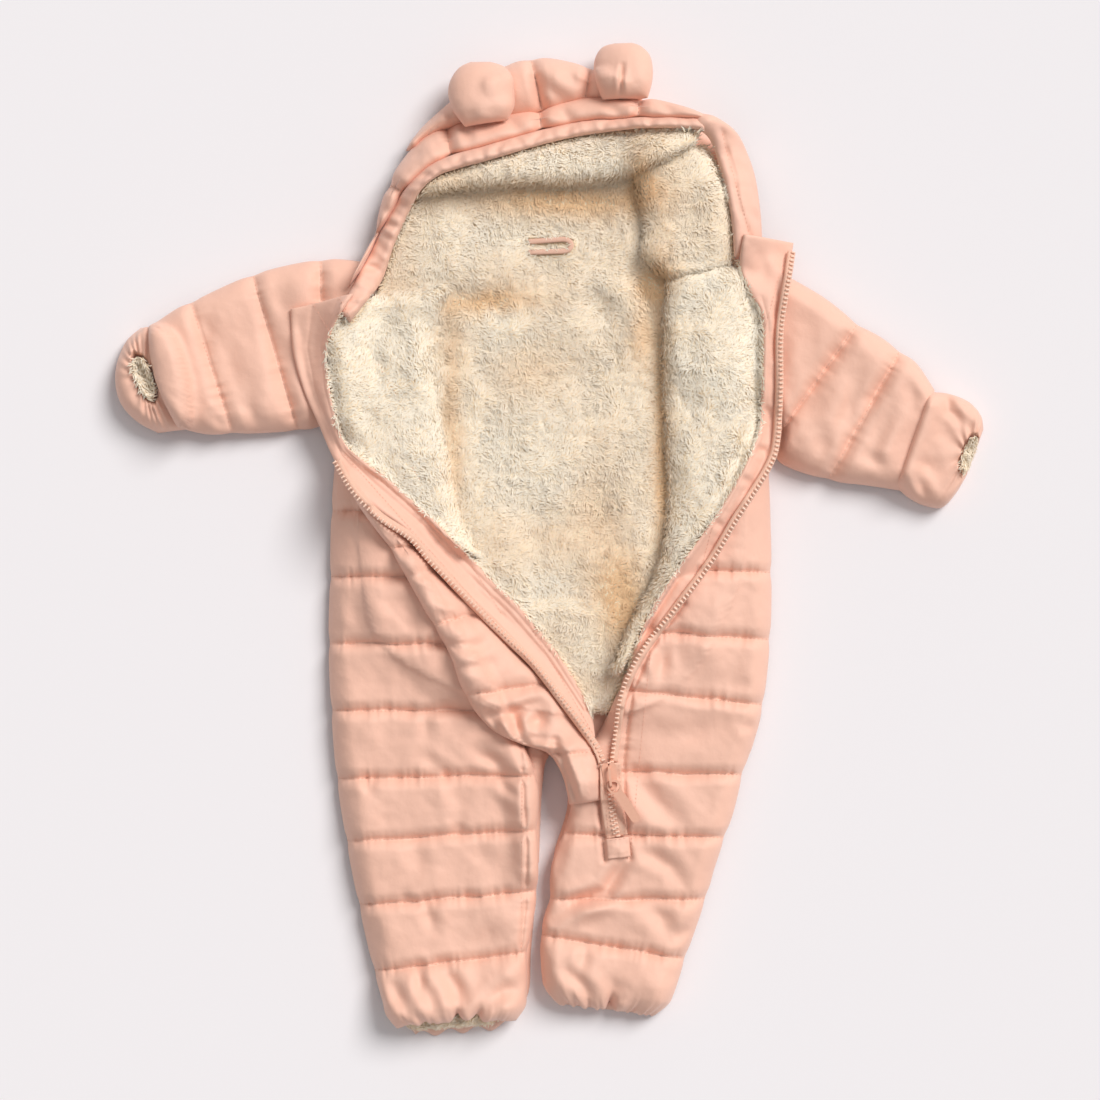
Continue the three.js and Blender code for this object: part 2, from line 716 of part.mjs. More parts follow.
// Plain facings along both edges of the opening. Columns: zip side x y, body side x y.
const FACING_LEFT = table([
  [-186, 170, -142, 179],
  [-184, 139, -161, 144],
  [-176, 110, -160, 112],
  [-165, 85, -155, 88],
  [-154, 60, -147, 68],
  [-135, 34, -118, 46],
  [-100, 6, -84, 15],
  [-74, -25, -53, -17],
  [-40, -57, -20, -50],
  [-10, -89, 6, -82],
  [17, -124, 29, -119],
  [31, -143, 39, -146],
]);
const facing = {
  pad: FACING + 1, seam: FACING, stitch: FACING, across: 4, stops: [0, 0.33, 0.67], round: 4,
};
layCloth('facing_left', SHELL, FACING_LEFT, facing);
const FACING_RIGHT = table([
  [141, 221, 179, 219],
  [139, 198, 175, 190],
  [155, 160, 170, 157],
  [154, 109, 169, 112],
  [150, 74, 166, 73],
  [124, 25, 145, 31],
  [94, -17, 114, -20],
  [75, -46, 92, -49],
  [59, -84, 66, -86],
  [50, -120, 53, -120],
]);
layCloth('facing_right', SHELL, FACING_RIGHT, facing);

// Zip: a row of moulded teeth on a woven tape along each edge, closed below the slider.
const ZIP_WIDTH = 6;
const ZIP_LEFT = [
  [-155, 58], [-141, 36], [-123, 18], [-101, 3], [-86, -14], [-56, -46],
  [-28, -74], [-10, -92], [16, -126], [33, -149], [38, -161],
];
const ZIP_RIGHT = [
  [177, 212], [170.5, 178], [167, 150], [167, 110], [165, 74], [158, 53], [135, 17],
  [116, -15], [90, -50], [65.5, -84], [53, -112], [49, -140], [46.5, -161],
];
const zipStrip = { pad: 3.2, seam: 1.6, stitch: 3.2, across: 2, stops: [0, 0.5], round: 3, reach: 3 };
layCloth('zip_left', TAPE, ribbonRows(ZIP_LEFT, ZIP_WIDTH), zipStrip);
layCloth('zip_right', TAPE, ribbonRows(ZIP_RIGHT, ZIP_WIDTH), zipStrip);
const ZIP_CLOSED = [[44, -161.6], [44.5, -185], [46.5, -203], [49, -216]];
const CLOSED_WIDTH = 15;
layCloth('zip_closed', TAPE, ribbonRows(ZIP_CLOSED, CLOSED_WIDTH), { ...zipStrip, round: 5 });
const ZIP_PATCH = [[49, -216.5], [50.5, -231]];
const PATCH_WIDTH = 16;
layCloth('zip_patch', SHELL, ribbonRows(ZIP_PATCH, PATCH_WIDTH), { ...zipStrip, pad: 2.6, seam: 2 });

// The bare points and faces of a geometry, with shared corners.
function bare(geometry) {
  geometry.deleteAttribute('normal');
  geometry.deleteAttribute('uv');
  return mergeVertices(geometry, 1e-4);
}

// Turn a geometry into a closed body that can be joined and cut.
function toSolid(geometry) {
  const merged = bare(geometry);
  const mesh = new wasm.Mesh({
    numProp: 3,
    vertProperties: new Float32Array(merged.getAttribute('position').array),
    triVerts: new Uint32Array(merged.getIndex().array),
  });
  return new wasm.Manifold(mesh);
}

function fromSolid(solid) {
  const mesh = solid.getMesh();
  const geometry = new THREE.BufferGeometry();
  geometry.setAttribute('position', new THREE.BufferAttribute(mesh.vertProperties, 3));
  geometry.setIndex(new THREE.BufferAttribute(mesh.triVerts, 1));
  return geometry;
}

// Highest point under a round footprint.
function seatHeight(x, y, radius) {
  let best = 0;
  for (let dx = -radius; dx <= radius; dx += 1) {
    for (let dy = -radius; dy <= radius; dy += 1) {
      best = Math.max(best, heightUnder(x + dx, y + dy, 1));
    }
  }
  return best;
}

// Slider: a tapered body with a bail over it, and a flat pull hanging on the bail.
const SLIDER = { x: 43.5, y: -171, wide: 11, long: 19, thick: 5, lean: 6 };
const BAIL = { wide: 1.8, bar: 1.6, long: 15, rise: 6, clear: 2.6 };
const PULL = {
  long: 37, wide: 7, thick: 1.8, head: 9.6,   // strap, and the width of its head
  eyeLong: 8, eyeWide: 6.6, rim: 1.8,         // eye that the bail passes through
  aim: -56, tilt: 10, lift: 1.4,              // how it lies
};
const SLIDER_REACH = 9;
const SLIDER_CLEAR = 0.2;
const BAIL_SINK = 0.5;        // the bail's feet are let into the body
const CUT_SPARE = 1;          // a cutter sticks out this far on both sides
const sliderSeat = seatHeight(SLIDER.x, SLIDER.y, SLIDER_REACH) + SLIDER_CLEAR;

function plate(outline, thick) {
  const shape = new THREE.Shape(outline);
  return new THREE.ExtrudeGeometry(shape, { depth: thick, bevelEnabled: false, curveSegments: 8 });
}

function stadium(wide, long) {
  const half = wide / 2;
  const path = new THREE.Path();
  path.absarc(half, 0, half, Math.PI / 2, 1.5 * Math.PI);
  path.absarc(long - half, 0, half, -Math.PI / 2, Math.PI / 2);
  path.closePath();
  return path;
}

const sliderOutline = [
  [-0.5, 0.36], [-0.36, 0.5], [-0.08, 0.5], [0, 0.38], [0.08, 0.5], [0.36, 0.5], [0.5, 0.36],
  [0.42, -0.38], [0.3, -0.5], [-0.3, -0.5], [-0.42, -0.38],
].map(([x, y]) => new THREE.Vector2(x * SLIDER.wide, y * SLIDER.long));
const bailOutline = [
  [-0.5, 0], [-0.5, 0.72], [-0.42, 1], [0.42, 1], [0.5, 0.72], [0.5, 0],
].map(([x, y]) => new THREE.Vector2(x * BAIL.long, y * BAIL.rise));
const bailHole = new THREE.Path(bailOutline.map((p) => new THREE.Vector2(
  p.x * (1 - (2 * BAIL.bar) / BAIL.long), p.y === 0 ? -0.01 : p.y * (1 - BAIL.bar / BAIL.rise))));
const bailShape = plate(bailOutline, BAIL.wide);
const bailGap = plate(bailHole.getPoints(), BAIL.wide + 2 * CUT_SPARE);
bailGap.translate(0, 0, -CUT_SPARE);
const bailSolid = toSolid(bailShape).subtract(toSolid(bailGap));
const bail = fromSolid(bailSolid);
bail.rotateX(Math.PI / 2);
bail.rotateZ(Math.PI / 2);
bail.translate(-BAIL.wide / 2, 0, SLIDER.thick - BAIL_SINK);
const body = plate(sliderOutline, SLIDER.thick);
const slider = fromSolid(toSolid(body).add(toSolid(bail)));
slider.rotateZ(THREE.MathUtils.degToRad(SLIDER.lean));
slider.translate(SLIDER.x, SLIDER.y, sliderSeat);
add('slider', ENAMEL, slider);

// The pull turns on the bar of its eye that lies inside the bail.
const reachDown = BAIL.long / 2 - BAIL.bar - BAIL.clear;
const lean = THREE.MathUtils.degToRad(SLIDER.lean);
const pivot = new THREE.Vector3(
  SLIDER.x + reachDown * Math.sin(lean),
  SLIDER.y - reachDown * Math.cos(lean),
  sliderSeat + SLIDER.thick + PULL.lift + PULL.thick / 2);
const pullPlate = (wide, long, shift) => {
  const shape = plate(stadium(wide, long).getPoints(8), PULL.thick);
  return toSolid(shape.translate(shift - PULL.rim / 2, 0, -PULL.thick / 2));
};
const eyeOutline = stadium(PULL.eyeWide, PULL.eyeLong).getPoints(8);
const eyeHole = plate(eyeOutline, PULL.thick + 2 * CUT_SPARE);
eyeHole.translate(PULL.rim / 2, 0, -PULL.thick / 2 - CUT_SPARE);
const pull = fromSolid(pullPlate(PULL.head, PULL.eyeLong + 2 * PULL.rim, 0)
  .add(pullPlate(PULL.wide, PULL.long - PULL.eyeLong, PULL.eyeLong))
  .subtract(toSolid(eyeHole)));
const pullMesh = add('pull_tab', ENAMEL, pull);
pullMesh.position.copy(pivot);
const aim = THREE.MathUtils.degToRad(PULL.aim);
pullMesh.rotation.set(0, THREE.MathUtils.degToRad(PULL.tilt), aim, 'ZYX');

// Hanging loop of folded tape at the neck.
const LOOP = { x: 1, y: 214, wide: 29, tall: 9, bar: 2.6, thick: 2 };
const loopShape = new THREE.Shape(stadium(LOOP.tall, LOOP.wide).getPoints(6));
loopShape.holes.push(new THREE.Path(
  stadium(LOOP.tall - 2 * LOOP.bar, LOOP.wide - 2 * LOOP.bar).getPoints(6)
    .map((p) => new THREE.Vector2(p.x + LOOP.bar, p.y))));
const loop = new THREE.ExtrudeGeometry(loopShape, { depth: LOOP.thick, bevelEnabled: false });
loop.translate(LOOP.x - LOOP.wide / 2, LOOP.y, seatHeight(LOOP.x, LOOP.y, 12));
add('hanging_loop', TAPE, bare(loop));

// Two padded ears on the crown.
const EARS = {
  ear_left: { x: -50, y: 328, wide: 47, tall: 47, turn: 12, count: 7 },
  ear_right: { x: 52, y: 345, wide: 43, tall: 43, turn: -4, count: 7 },
};
Object.entries(EARS).forEach(([name, ear]) => layCloth(name, SHELL, padRows(ear), {
  pad: 17, seam: 7, across: 8, stops: [0, 0.5], round: 17, reach: 4, fall: 0.35, nestle: 1.1,
}));

// Centre the part over its own footprint.
const box = new THREE.Box3().setFromObject(suit);
const middle = box.getCenter(new THREE.Vector3());
suit.position.set(-middle.x, -middle.y, -box.min.z);
suit.updateMatrixWorld(true);

export default suit;
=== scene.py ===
import math

import bpy
import numpy as np
from mathutils.bvhtree import BVHTree
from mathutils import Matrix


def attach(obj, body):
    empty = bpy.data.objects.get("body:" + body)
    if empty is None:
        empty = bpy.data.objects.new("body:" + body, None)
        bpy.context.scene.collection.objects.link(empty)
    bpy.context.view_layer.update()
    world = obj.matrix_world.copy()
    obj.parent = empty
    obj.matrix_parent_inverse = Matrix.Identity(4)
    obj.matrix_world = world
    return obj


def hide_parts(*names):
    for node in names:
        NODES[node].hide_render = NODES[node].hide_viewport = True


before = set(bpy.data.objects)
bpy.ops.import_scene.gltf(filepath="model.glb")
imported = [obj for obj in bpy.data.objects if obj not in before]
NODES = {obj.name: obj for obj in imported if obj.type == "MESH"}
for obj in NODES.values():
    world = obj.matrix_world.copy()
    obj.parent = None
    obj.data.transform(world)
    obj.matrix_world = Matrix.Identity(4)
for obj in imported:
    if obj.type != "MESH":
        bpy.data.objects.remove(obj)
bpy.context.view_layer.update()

# Back of the suit: one leg and half the body on each side of the centre back seam, with the
# undersides of the sleeves and the back of the hood. Peach nylon with thin wadding, pressed flat
# by all that lies on it, so only its edges show.
MM = 0.001
SHIFT = (0.079, -1.521)         # from the cutting table's millimetres to the part's own frame
HALF_WIDTH, HALF_LENGTH = 360, 400
CLEAR = 0.25                    # one cloth never sinks into another
PRESS_STEP = 0.8                # finer than the millimetre cells of the bed
bed = np.zeros((2 * HALF_LENGTH, 2 * HALF_WIDTH))
owner = np.full(bed.shape, -1)  # number of the cloth that is on top, at each millimetre
laid = {}


def curve(rows, t):
    """Smooth curve through the rows of a table, at the row numbers t."""
    last = len(rows) - 1
    i = np.minimum(last - 1, t.astype(int))
    f = (t - i)[:, None]
    p, a, b, q = (rows[np.clip(i + k, 0, last)] for k in (-1, 0, 1, 2))
    enter, leave = (b - p) / 2, (q - a) / 2
    return ((2 * f**3 - 3 * f**2 + 1) * a + (f**3 - 2 * f**2 + f) * enter
            + (3 * f**2 - 2 * f**3) * b + (f**3 - f**2) * leave)


def grain(x, y, size, seed):
    """Smooth random heights from -1 to 1 that change over size millimetres."""
    cells = 64
    table = np.random.default_rng(seed).uniform(-1, 1, (cells, cells))
    i, j = np.floor(x / size).astype(int), np.floor(y / size).astype(int)
    f, g = x / size - i, y / size - j
    f, g = f * f * (3 - 2 * f), g * g * (3 - 2 * g)
    at = lambda di, dj: table[(j + dj) % cells, (i + di) % cells]
    return ((at(0, 0) * (1 - f) + at(1, 0) * f) * (1 - g)
            + (at(0, 1) * (1 - f) + at(1, 1) * f) * g)


def beside(x, y, line):
    """Distance from a line of points, how far along it (0 to 1), and the millimetres along it."""
    line = np.array(line, float)
    legs = np.hypot(*np.diff(line, axis=0).T)
    start = np.concatenate([[0], np.cumsum(legs)])
    best = np.full(np.shape(x), np.inf)
    along = np.zeros(np.shape(x))
    for (ax, ay), (bx, by), leg, before in zip(line[:-1], line[1:], legs, start):
        s = np.clip(((x - ax) * (bx - ax) + (y - ay) * (by - ay)) / leg**2, 0, 1)
        away = np.hypot(x - ax - s * (bx - ax), y - ay - s * (by - ay))
        along = np.where(away < best, before + s * leg, along)
        best = np.minimum(best, away)
    return best, along / start[-1], along


def crease(x, y, line, width, height):
    """A soft fold along a line: a ridge where height is above 0, and a trough below it."""
    away, share, _ = beside(x, y, line)
    taper = np.sin(np.pi * np.clip(0.08 + 0.84 * share, 0, 1)) ** 0.8
    swell = np.exp(-(away / width) ** 2) - 0.4 * np.exp(-((away - 1.9 * width) / width) ** 2)
    return height * taper * swell


def soften(grid, reach):
    """Blurs a grid of heights over reach lines and columns."""
    size = int(round(reach * 2))
    weights = np.exp(-(np.arange(-size, size + 1) / reach) ** 2)
    for axis in (0, 1):
        wide = [(size, size) if k == axis else (0, 0) for k in (0, 1)]
        padded = np.pad(grid, wide, mode="edge")
        total = sum(w * np.take(padded, range(k, k + grid.shape[axis]), axis)
                    for k, w in enumerate(weights))
        grid = total / weights.sum()
    return grid


def bed_cells(x, y):
    """Row and column of the bed at each place, kept off its rim."""
    column = np.clip((x + HALF_WIDTH).astype(int), 1, 2 * HALF_WIDTH - 2)
    row = np.clip((y + HALF_LENGTH).astype(int), 1, 2 * HALF_LENGTH - 2)
    return row, column


def bed_height(x, y):
    """Height of all that is laid so far, over the millimetre round each place."""
    row, column = bed_cells(x, y)
    return np.max([bed[row + j, column + i] for i in (-1, 0, 1) for j in (-1, 0, 1)], axis=0)


def press(cloth):
    """Adds a laid cloth to the bed."""
    x, y, top = cloth["x"], cloth["y"], cloth["top"]
    fine = int(np.ceil(np.hypot(np.diff(x, axis=0), np.diff(y, axis=0)).max() / PRESS_STEP))
    for f in np.arange(fine) / fine:
        for g in np.arange(fine) / fine:
            mix = lambda v: ((v[:-1, :-1] * (1 - f) + v[1:, :-1] * f) * (1 - g)
                             + (v[:-1, 1:] * (1 - f) + v[1:, 1:] * f) * g)
            row, column = bed_cells(mix(x), mix(y))
            height = mix(top)
            np.maximum.at(bed, (row, column), height)
            upper = height >= bed[row, column]
            owner[row[upper], column[upper]] = cloth["number"]


def rounded(near, radius):
    """Height of a rounded edge, 0 to 1, at a distance from it."""
    near = np.clip(near / radius, 0, 1)
    return np.sqrt(1 - (1 - near) ** 2)


def zipped(outer, inner):
    """Triangles between two closed loops of points that run the same way round."""
    faces, i, j = [], 0, 0
    while i < len(outer) or j < len(inner):
        if j >= len(inner) or (i < len(outer) and (i + 1) * len(inner) <= (j + 1) * len(outer)):
            faces.append((outer[i % len(outer)], outer[(i + 1) % len(outer)],
                          inner[j % len(inner)]))
            i += 1
        else:
            faces.append((inner[(j + 1) % len(inner)], inner[j % len(inner)],
                          outer[i % len(outer)]))
            j += 1
    return faces


def make_piece(name, points, faces, material, nodes=(), smooth=True):
    """A mesh from points in table millimetres, riding on the suit."""
    mesh = bpy.data.meshes.new(name)
    place = (np.asarray(points) + [*SHIFT, 0]) * MM
    mesh.from_pydata(place.tolist(), [], [list(map(int, face)) for face in faces])
    mesh.update()
    piece = bpy.data.objects.new(name, mesh)
    bpy.context.scene.collection.objects.link(piece)
    mesh.materials.append(material)
    if smooth:
        mesh.polygons.foreach_set("use_smooth", [True] * len(mesh.polygons))
    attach(piece, "suit")
    if nodes:
        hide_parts(*nodes)
    return piece


def cad_underside(names, x, y):
    """Underside of a piece's solids, straight up from the table, in millimetres. Where none
    lies over a place, the nearest places that have one give it."""
    corners, sides = [], []
    for name in names:
        mesh = NODES[name].data
        sides += [[k + len(corners) for k in p.vertices] for p in mesh.polygons]
        corners += [v.co.copy() for v in mesh.vertices]
    tree = BVHTree.FromPolygons(corners, sides)
    under_table = -0.01
    low = np.zeros(x.size)
    for k, (px, py) in enumerate(zip(x.ravel(), y.ravel())):
        spot = ((px + SHIFT[0]) * MM, (py + SHIFT[1]) * MM, under_table)
        hit = tree.ray_cast(spot, (0, 0, 1))[0]
        low[k] = hit[2] / MM if hit else np.nan
    low = low.reshape(x.shape)
    while np.isnan(low).any():
        gaps = np.isnan(low)
        padded = np.pad(low, 1, mode="edge")
        near = np.stack([padded[1:-1, :-2], padded[1:-1, 2:], padded[:-2, 1:-1], padded[2:, 1:-1]])
        count = (~np.isnan(near)).sum(axis=0)
        fill = np.nansum(near, axis=0) / np.maximum(count, 1)
        low = np.where(gaps & (count > 0), fill, low)
    return low


PUCKERS = {"reach": 5.0, "height": 1.9, "swell_reach": 13, "swell_height": 0.6}
SEAM_VALLEY, SEAM_SHARE = 5, 0.5    # a plain seam is narrower and half as deep as quilting
THREAD_WIDTH, THREAD_SINK = 1.1, 0.07
CREASE_WIDTH, CREASED = 0.95, 1.3   # against the widths and heights drawn in the tables below
FIRM = 7                            # folds fade out over the last millimetres before an edge
CUT_END, CUT_ROUND = 0.62, 5        # an end that runs under its neighbour stays this thick
PADDED_BELOW = 3.4                  # a cloth narrower than this many thicknesses would be a pad; lay tests it, but nothing follows from the test


def ruled(rows, grid, inset, warp):
    """Places on a strip between the two edges that its rows give, in lines across it. u is the
    share of the way across, near the distance from the closer edge, come and gone the distances
    from the first line and to the last."""
    dense = np.linspace(0, len(rows) - 1, (len(rows) - 1) * 24 + 1)
    middle = curve(rows, dense)
    middle = (middle[:, :2] + middle[:, 2:4]) / 2
    run = np.concatenate([[0], np.cumsum(np.hypot(*np.diff(middle, axis=0).T))])
    come = np.linspace(0, run[-1], max(6, int(run[-1] / grid)) + 1)
    edges = curve(rows, np.interp(come, run, dense))
    start, across = edges[:, :2], edges[:, 2:4] - edges[:, :2]
    width = np.hypot(*across.T)[:, None]
    even = np.linspace(0, 1, max(6, int(width.max() / grid)) + 1)
    u = (0.75 * even + 0.25 * (1 - np.cos(np.pi * even)) / 2)[None]
    drawn = (inset[0] + u * (width - inset[0] - inset[1])) / width
    come, gone = come[:, None], (run[-1] - come)[:, None]
    dx, dy = warp(u, gone) if warp else (0, 0)
    return {"x": start[:, :1] + across[:, :1] * drawn + dx,
            "y": start[:, 1:] + across[:, 1:] * drawn + dy,
            "u": u, "near": np.minimum(u, 1 - u) * width, "come": come, "gone": gone,
            "width": width, "across": across, "run": run[-1]}


def quilt_lines(rows):
    """The sewn lines of a quilted strip: one along each marked row, never quite straight."""
    wobble = np.array([0, 0.7, -0.5, 0.9, -0.8, 0.4, 0])[:, None]
    shares = np.linspace(0, 1, len(wobble))[:, None]
    return [rows[k, :2] * (1 - shares) + rows[k, 2:4] * shares
            + (0, 1.1) * np.roll(wobble, k * 2, axis=0) * np.sin(np.pi * shares)
            for k in range(len(rows)) if rows[k, 4]]


def quilting(x, y, lines, seams, depth, valley):
    """How full of wadding a cloth is beside its sewn lines, up to 1, and the puckers that the
    thread draws up there."""
    filled = np.ones(x.shape)
    puckers = np.zeros(x.shape)
    for k, line in enumerate([*lines, *seams]):
        reach, share = (valley, 1) if k < len(lines) else (SEAM_VALLEY, SEAM_SHARE)
        away, _, along = beside(x, y, line)
        trough = (1 - np.minimum(1, away / reach)) ** 1.9
        sunk = THREAD_SINK * np.exp(-(away / THREAD_WIDTH) ** 2)
        filled = np.minimum(filled, 1 - depth * share * trough - sunk)
        fine = grain(along, 7.0 * k, 4.2, 11 + k) + 0.6 * grain(along, 3.0 * k, 2.3, 31 + k)
        fine = np.sign(fine) * np.abs(fine) ** 0.75
        broad = grain(along, 5.0 * k, 15, 51 + k)
        uneven = 0.55 + 0.45 * grain(along, 9.0 * k, 26, 71 + k)
        strong = PUCKERS["height"] * share
        puckers += strong * fine * uneven * np.exp(-(away / PUCKERS["reach"]) ** 1.5)
        puckers += PUCKERS["swell_height"] * broad * np.exp(-(away / PUCKERS["swell_reach"]) ** 2)
    return filled, puckers


def skin(x, y, top, bottom, coarse):
    """Points and faces of a cloth: its upper side on every place of the grid, a wall round it,
    and an underside of fewer places, because it lies on something."""
    quads = lambda n: np.stack([n[:-1, :-1], n[:-1, 1:], n[1:, 1:], n[1:, :-1]], -1).reshape(-1, 4)
    border = lambda n: np.concatenate([n[0, :-1], n[:-1, -1], n[-1, :0:-1], n[:0:-1, 0]])
    steps = lambda n: np.unique(np.linspace(1, n - 2, max(2, int((n - 2) / coarse))).astype(int))
    number = np.arange(x.size).reshape(x.shape)
    rim = border(number)
    lower_rim = np.arange(len(rim)) + x.size
    pick = np.ix_(*(steps(n) for n in x.shape))
    inner = np.arange(x[pick].size).reshape(x[pick].shape) + x.size + len(rim)
    points = np.vstack([np.stack([x, y, top], -1).reshape(-1, 3),
                        np.stack([v.ravel()[rim] for v in (x, y, bottom)], -1),
                        np.stack([v[pick] for v in (x, y, bottom)], -1).reshape(-1, 3)])
    faces = quads(number).tolist()
    faces += [f[::-1] for f in quads(inner).tolist()]
    faces += [f[::-1] for f in zipped(lower_rim.tolist(), border(inner).tolist())]
    after = np.roll(np.arange(len(rim)), -1)
    faces += [[rim[k], lower_rim[k], lower_rim[after[k]], rim[after[k]]] for k in range(len(rim))]
    turned = ((x[1, 0] - x[0, 0]) * (y[0, -1] - y[0, 0])
              - (y[1, 0] - y[0, 0]) * (x[0, -1] - x[0, 0])) > 0
    return points, [f[::-1] for f in faces] if turned else faces


def lay(name, rows, pad, seam, stitch=None, grid=1.4, edge=16, valley=11, inset=(0, 0),
        ends=(False, False), creases=(), rough=1.0, gathers=(), lines=None, material=None,
        slot="shell", rests_on=(), scallop=1.0, shape=None, fill=None, coarse=4, nodes=None,
        end_round=None, warp=None, seams=(), pucker=1.0, settle=3.0):
    """Lays one cloth on the bed, from the rows that give its two edges. It swells to pad inside
    its rounded edges, sinks to stitch along its quilt lines and half as far along its seams, and
    is half of seam at the rim. The ends marked as free are rounded too, and scallop draws the
    edges in at each quilt line."""
    rows = np.array([list(row) + [0] * (5 - len(row)) for row in rows], float)
    lines = quilt_lines(rows) if lines is None else lines
    stitch = pad * 0.5 if stitch is None else stitch
    cut = ruled(rows, grid, inset, warp)
    x, y, u, near, gone, width = (cut[key] for key in ("x", "y", "u", "near", "gone", "width"))
    filled, puckers = quilting(x, y, lines, seams, 1 - stitch / pad, valley)
    for waves, depth in gathers:
        phase = waves * (cut["come"] / cut["run"]) * 2 * np.pi
        phase = phase + 1.2 * grain(cut["come"], u * 9, 8, 5)
        filled = filled * (1 + depth * np.cos(phase))

    swell = rounded(near, np.minimum(edge, width / 2))
    inside = rounded(near, FIRM)
    for free, past in zip(ends, (cut["come"], gone)):
        low, reach = (0.0, end_round or edge) if free else (CUT_END, CUT_ROUND)
        swell = swell * (low + (1 - low) * rounded(past, reach))
        inside = inside * rounded(past, FIRM) if free else inside
    half = seam / 2
    thick = half + (pad - half) * swell * filled
    relief = 0.8 * grain(x, y, 31, 3) + 0.45 * grain(x, y * 0.5, 13, 7) + 0.16 * grain(x, y, 5.5, 9)
    relief = pucker * puckers + rough * relief
    for line, wide, height in creases:
        relief = relief + CREASED * crease(x, y, line, wide * CREASE_WIDTH, height)
    if shape:
        relief = relief + shape(x, y, u, gone)
    thick = np.maximum(half * 0.7, thick + relief * inside)

    if lines:
        pull = sum(np.exp(-(beside(x, y, line)[0] / 6) ** 2) for line in lines)
        towards = np.sign(0.5 - u) * np.exp(-near / 12) * scallop * np.minimum(1, pull)
        x = x + cut["across"][:, :1] / width * towards
        y = y + cut["across"][:, 1:] / width * towards

    base = soften(cad_underside(nodes or [name], x, y), settle / grid * 1.4)
    lift = np.maximum(0, bed_height(x, y) + CLEAR - base)
    base = base + np.maximum(soften(lift, 2), lift)
    top = base + thick
    bottom = base + (half - 0.3) * (1 - rounded(near, max(2.0, half)))
    points, faces = skin(x, y, top, bottom, coarse)
    piece = make_piece("cloth_" + name, points, faces, material or shell, nodes or [name])

    mean_width, run = float(width.mean()), float(cut["run"])
    fill is None and min(mean_width, run) > PADDED_BELOW * pad
    laid[name] = {"x": x, "y": y, "top": top, "lines": [*lines, *seams], "number": len(laid)}
    return laid[name]


def lay_together(*layers):
    """Cloths of one layer lie side by side, so all are laid before any is pressed."""
    for cloth in [layer() for layer in layers]:
        press(cloth)


def lay_over(name, rows, **how):
    """One cloth that lies over all before it."""
    press(lay(name, rows, **how))


class Dye:
    """A socket of a material, so that its maths reads as plain sums."""

    def __init__(self, tree, socket):
        self.tree, self.socket = tree, socket

    def node(self, kind, inputs=(), out=0, **settings):
        made = self.tree.nodes.new(kind)
        for key, value in settings.items():
            setattr(made, key, value)
        for key, value in dict(inputs).items():
            if isinstance(value, Dye):
                self.tree.links.new(value.socket, made.inputs[key])
            else:
                made.inputs[key].default_value = value
        return Dye(self.tree, made.outputs[out])

    def __add__(self, other):
        return self.node("ShaderNodeMath", {0: self, 1: other}, operation="ADD")

    def __mul__(self, other):
        return self.node("ShaderNodeMath", {0: self, 1: other}, operation="MULTIPLY")

    def noise(self, scale, detail, rough=0.5):
        return self.node("ShaderNodeTexNoise", {"Vector": self, "Scale": scale, "Detail": detail,
                                                "Roughness": rough}, out="Fac")

    def mix(self, share, first, second):
        return self.node("ShaderNodeMix", {0: share, 6: first, 7: second}, out=2, data_type="RGBA")

    def feed(self, shader, name):
        self.tree.links.new(self.socket, shader.inputs[name])


def new_cloth(name, roughness, sheen=0.0, sheen_roughness=0.5):
    """A fresh material, its shader, and the place on the cloth in metres."""
    material = bpy.data.materials.new(name)
    material.use_nodes = True
    tree = material.node_tree
    shader = tree.nodes["Principled BSDF"]
    shader.inputs["Roughness"].default_value = roughness
    shader.inputs["Sheen Weight"].default_value = sheen
    shader.inputs["Sheen Roughness"].default_value = sheen_roughness
    return material, shader, Dye(tree, tree.nodes.new("ShaderNodeTexCoord").outputs["Object"])


def linear(red, green, blue):
    """A colour as it is seen, 0 to 255, turned into light."""
    turn = lambda v: v / 12.92 if v <= 0.04045 else ((v + 0.055) / 1.055) ** 2.4
    return (*(turn(v / 255) for v in (red, green, blue)), 1.0)


def weave(place, threads):
    """Height of a plain weave: warp and weft passing over and under each other."""
    across, down = (place.node("ShaderNodeSeparateXYZ", {0: place}, out=axis)
                    * (2 * math.pi * threads) for axis in "XY")
    wave = lambda v: v.node("ShaderNodeMath", {0: v}, operation="SINE")
    return wave(across) * wave(down)


shell, shader, place = new_cloth("peach_shell", 0.62, sheen=0.25, sheen_roughness=0.4)
blotches = place.noise(14, 2)
threads = place.noise(900, 2)
colour = place.mix(blotches, linear(240, 190, 168), linear(247, 200, 179))
colour = place.mix(threads * 0.12, colour, linear(228, 172, 150))
colour.feed(shader, "Base Color")
cockle = place.noise(95, 3, 0.55)
ripples = place.noise(330, 2)
relief = cockle + ripples * 0.22 + weave(place, 1700) * 0.035
bump = place.node("ShaderNodeBump", {"Strength": 0.45, "Distance": 0.0011, "Height": relief})
bump.feed(shader, "Normal")

